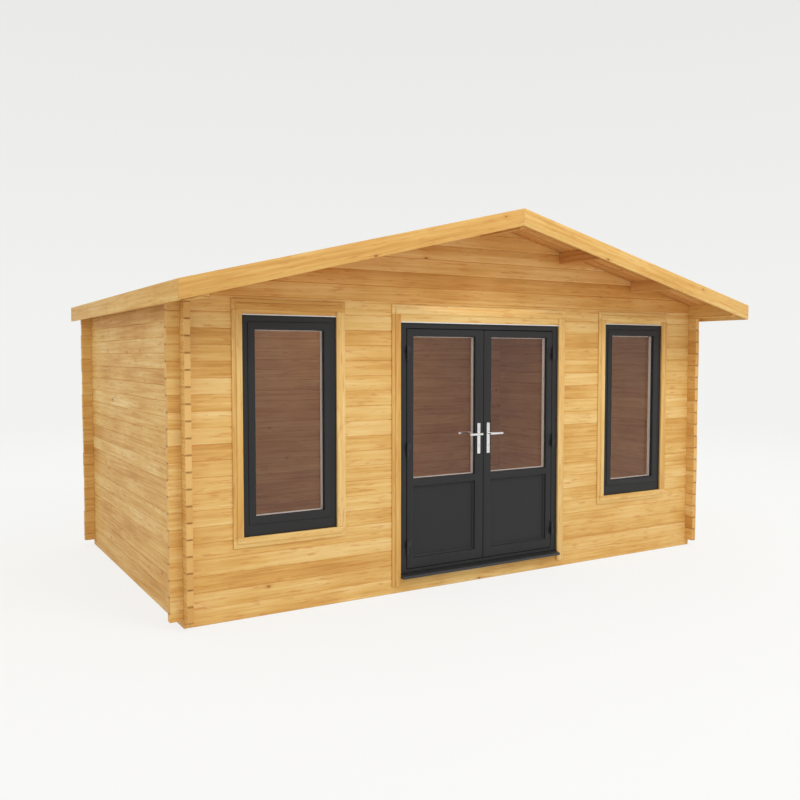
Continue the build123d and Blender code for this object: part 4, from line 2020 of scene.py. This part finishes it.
@dataclass
class Studio:
    """Pale floor, soft light and the camera."""

    workshop: Workshop
    eye: Point = (-3.961, -6.580, 1.776)
    yaw: float = 30.93
    pitch: float = -2.99
    lens: float = 37.68
    sky: float = 0.84
    sky_colour: Colour = (1.0, 0.985, 0.945, 1.0)
    backdrop_low: Colour = (0.893, 0.893, 0.878, 1.0)
    backdrop_high: Colour = (0.815, 0.815, 0.8, 1.0)
    backdrop_rise: float = 0.4
    floor_radius: float = 40.0
    sensor: float = 36.0

    def build(self) -> None:
        """Sets the stage."""
        self._floor()
        self._world()
        self._lamp("key_lamp", (1.2, -7.8, 8.8), (0.0, -0.5, 1.2), size=5.0, power=310.0)
        self._lamp(
            "room_lamp",
            (0.0, 0.1, 2.15),
            (0.0, 0.1, 0.0),
            size=3.0,
            power=8.0,
            colour=(0.97, 0.86, 0.9),
        )
        self._camera()
        scene = bpy.context.scene
        scene.view_settings.view_transform = "Standard"
        scene.cycles.use_denoising = True
        scene.cycles.transparent_max_bounces = 32

    def _floor(self) -> None:
        """Lays the floor."""
        work = bmesh.new()
        bmesh.ops.create_circle(work, cap_ends=True, segments=96, radius=self.floor_radius)
        mesh = bpy.data.meshes.new("stage_floor")
        work.to_mesh(mesh)
        work.free()
        mesh.materials.append(self.workshop.finishes.stage)
        ground = bpy.data.objects.new("stage_floor", mesh)
        bpy.context.scene.collection.objects.link(ground)

    def _world(self) -> None:
        """Lights the stage from all round, with a pale backdrop behind it."""
        world = bpy.data.worlds.new("studio")
        bpy.context.scene.world = world
        world.use_nodes = True
        sheet = NodeSheet(world.node_tree)
        sheet.tree.nodes.clear()
        path = sheet.add("ShaderNodeLightPath")
        seen = path.outputs["Is Camera Ray"]
        for kind in ("Is Glossy Ray", "Is Transmission Ray"):
            either = {0: seen, 1: path.outputs[kind]}
            seen = sheet.add("ShaderNodeMath", {"operation": "MAXIMUM"}, either).outputs[0]
        light = sheet.add(
            "ShaderNodeBackground", None, {"Color": self.sky_colour, "Strength": self.sky}
        )
        way = sheet.add("ShaderNodeTexCoord")
        height = sheet.add("ShaderNodeSeparateXYZ", None, {0: way.outputs["Generated"]})
        share = sheet.add(
            "ShaderNodeMapRange",
            None,
            {"Value": height.outputs[2], "From Min": 0.0, "From Max": self.backdrop_rise},
        )
        shade = sheet.add(
            "ShaderNodeMix",
            {"data_type": "RGBA"},
            {0: share.outputs[0], 6: self.backdrop_low, 7: self.backdrop_high},
        )
        back = sheet.add("ShaderNodeBackground", None, {"Color": shade.outputs[2], "Strength": 1.0})
        both = sheet.add(
            "ShaderNodeMixShader", None, {0: seen, 1: light.outputs[0], 2: back.outputs[0]}
        )
        sheet.add("ShaderNodeOutputWorld", None, {"Surface": both.outputs[0]})

    @staticmethod
    def _lamp(
        name: str,
        place: Point,
        target: Point,
        size: float,
        power: float,
        colour: Point = (1.0, 1.0, 1.0),
    ) -> None:
        """Adds one soft lamp.

        Args:
            name: Name of the lamp.
            place: Where it stands.
            target: Where it points.
            size: Width of its face.
            power: Power in watts.
            colour: Colour of its light.
        """
        data = bpy.data.lights.new(name, "AREA")
        data.shape = "DISK"
        data.size = size
        data.energy = power
        data.color = colour
        lamp = bpy.data.objects.new(name, data)
        bpy.context.scene.collection.objects.link(lamp)
        lamp.location = place
        lamp.rotation_euler = (Vector(target) - Vector(place)).to_track_quat("-Z", "Y").to_euler()

    def _camera(self) -> None:
        """Stands the camera at the viewing angle."""
        data = bpy.data.cameras.new("camera")
        data.lens = self.lens
        data.sensor_width = self.sensor
        camera = bpy.data.objects.new("camera", data)
        bpy.context.scene.collection.objects.link(camera)
        camera.location = self.eye
        camera.rotation_euler = (math.radians(90 + self.pitch), 0.0, math.radians(-self.yaw))
        bpy.context.scene.camera = camera


def main() -> None:
    """Builds the cabin's looks in order."""
    logging.basicConfig(level=logging.INFO, format="%(name)s %(message)s")
    workshop = Workshop(Finishes())
    for assembly in (
        Studio(workshop),
        LogWalls(workshop),
        Floor(workshop),
        Roof(workshop),
        Trims(workshop),
        Windows(workshop),
        Doorway(workshop),
    ):
        assembly.build()


if __name__ == "__main__":
    main()
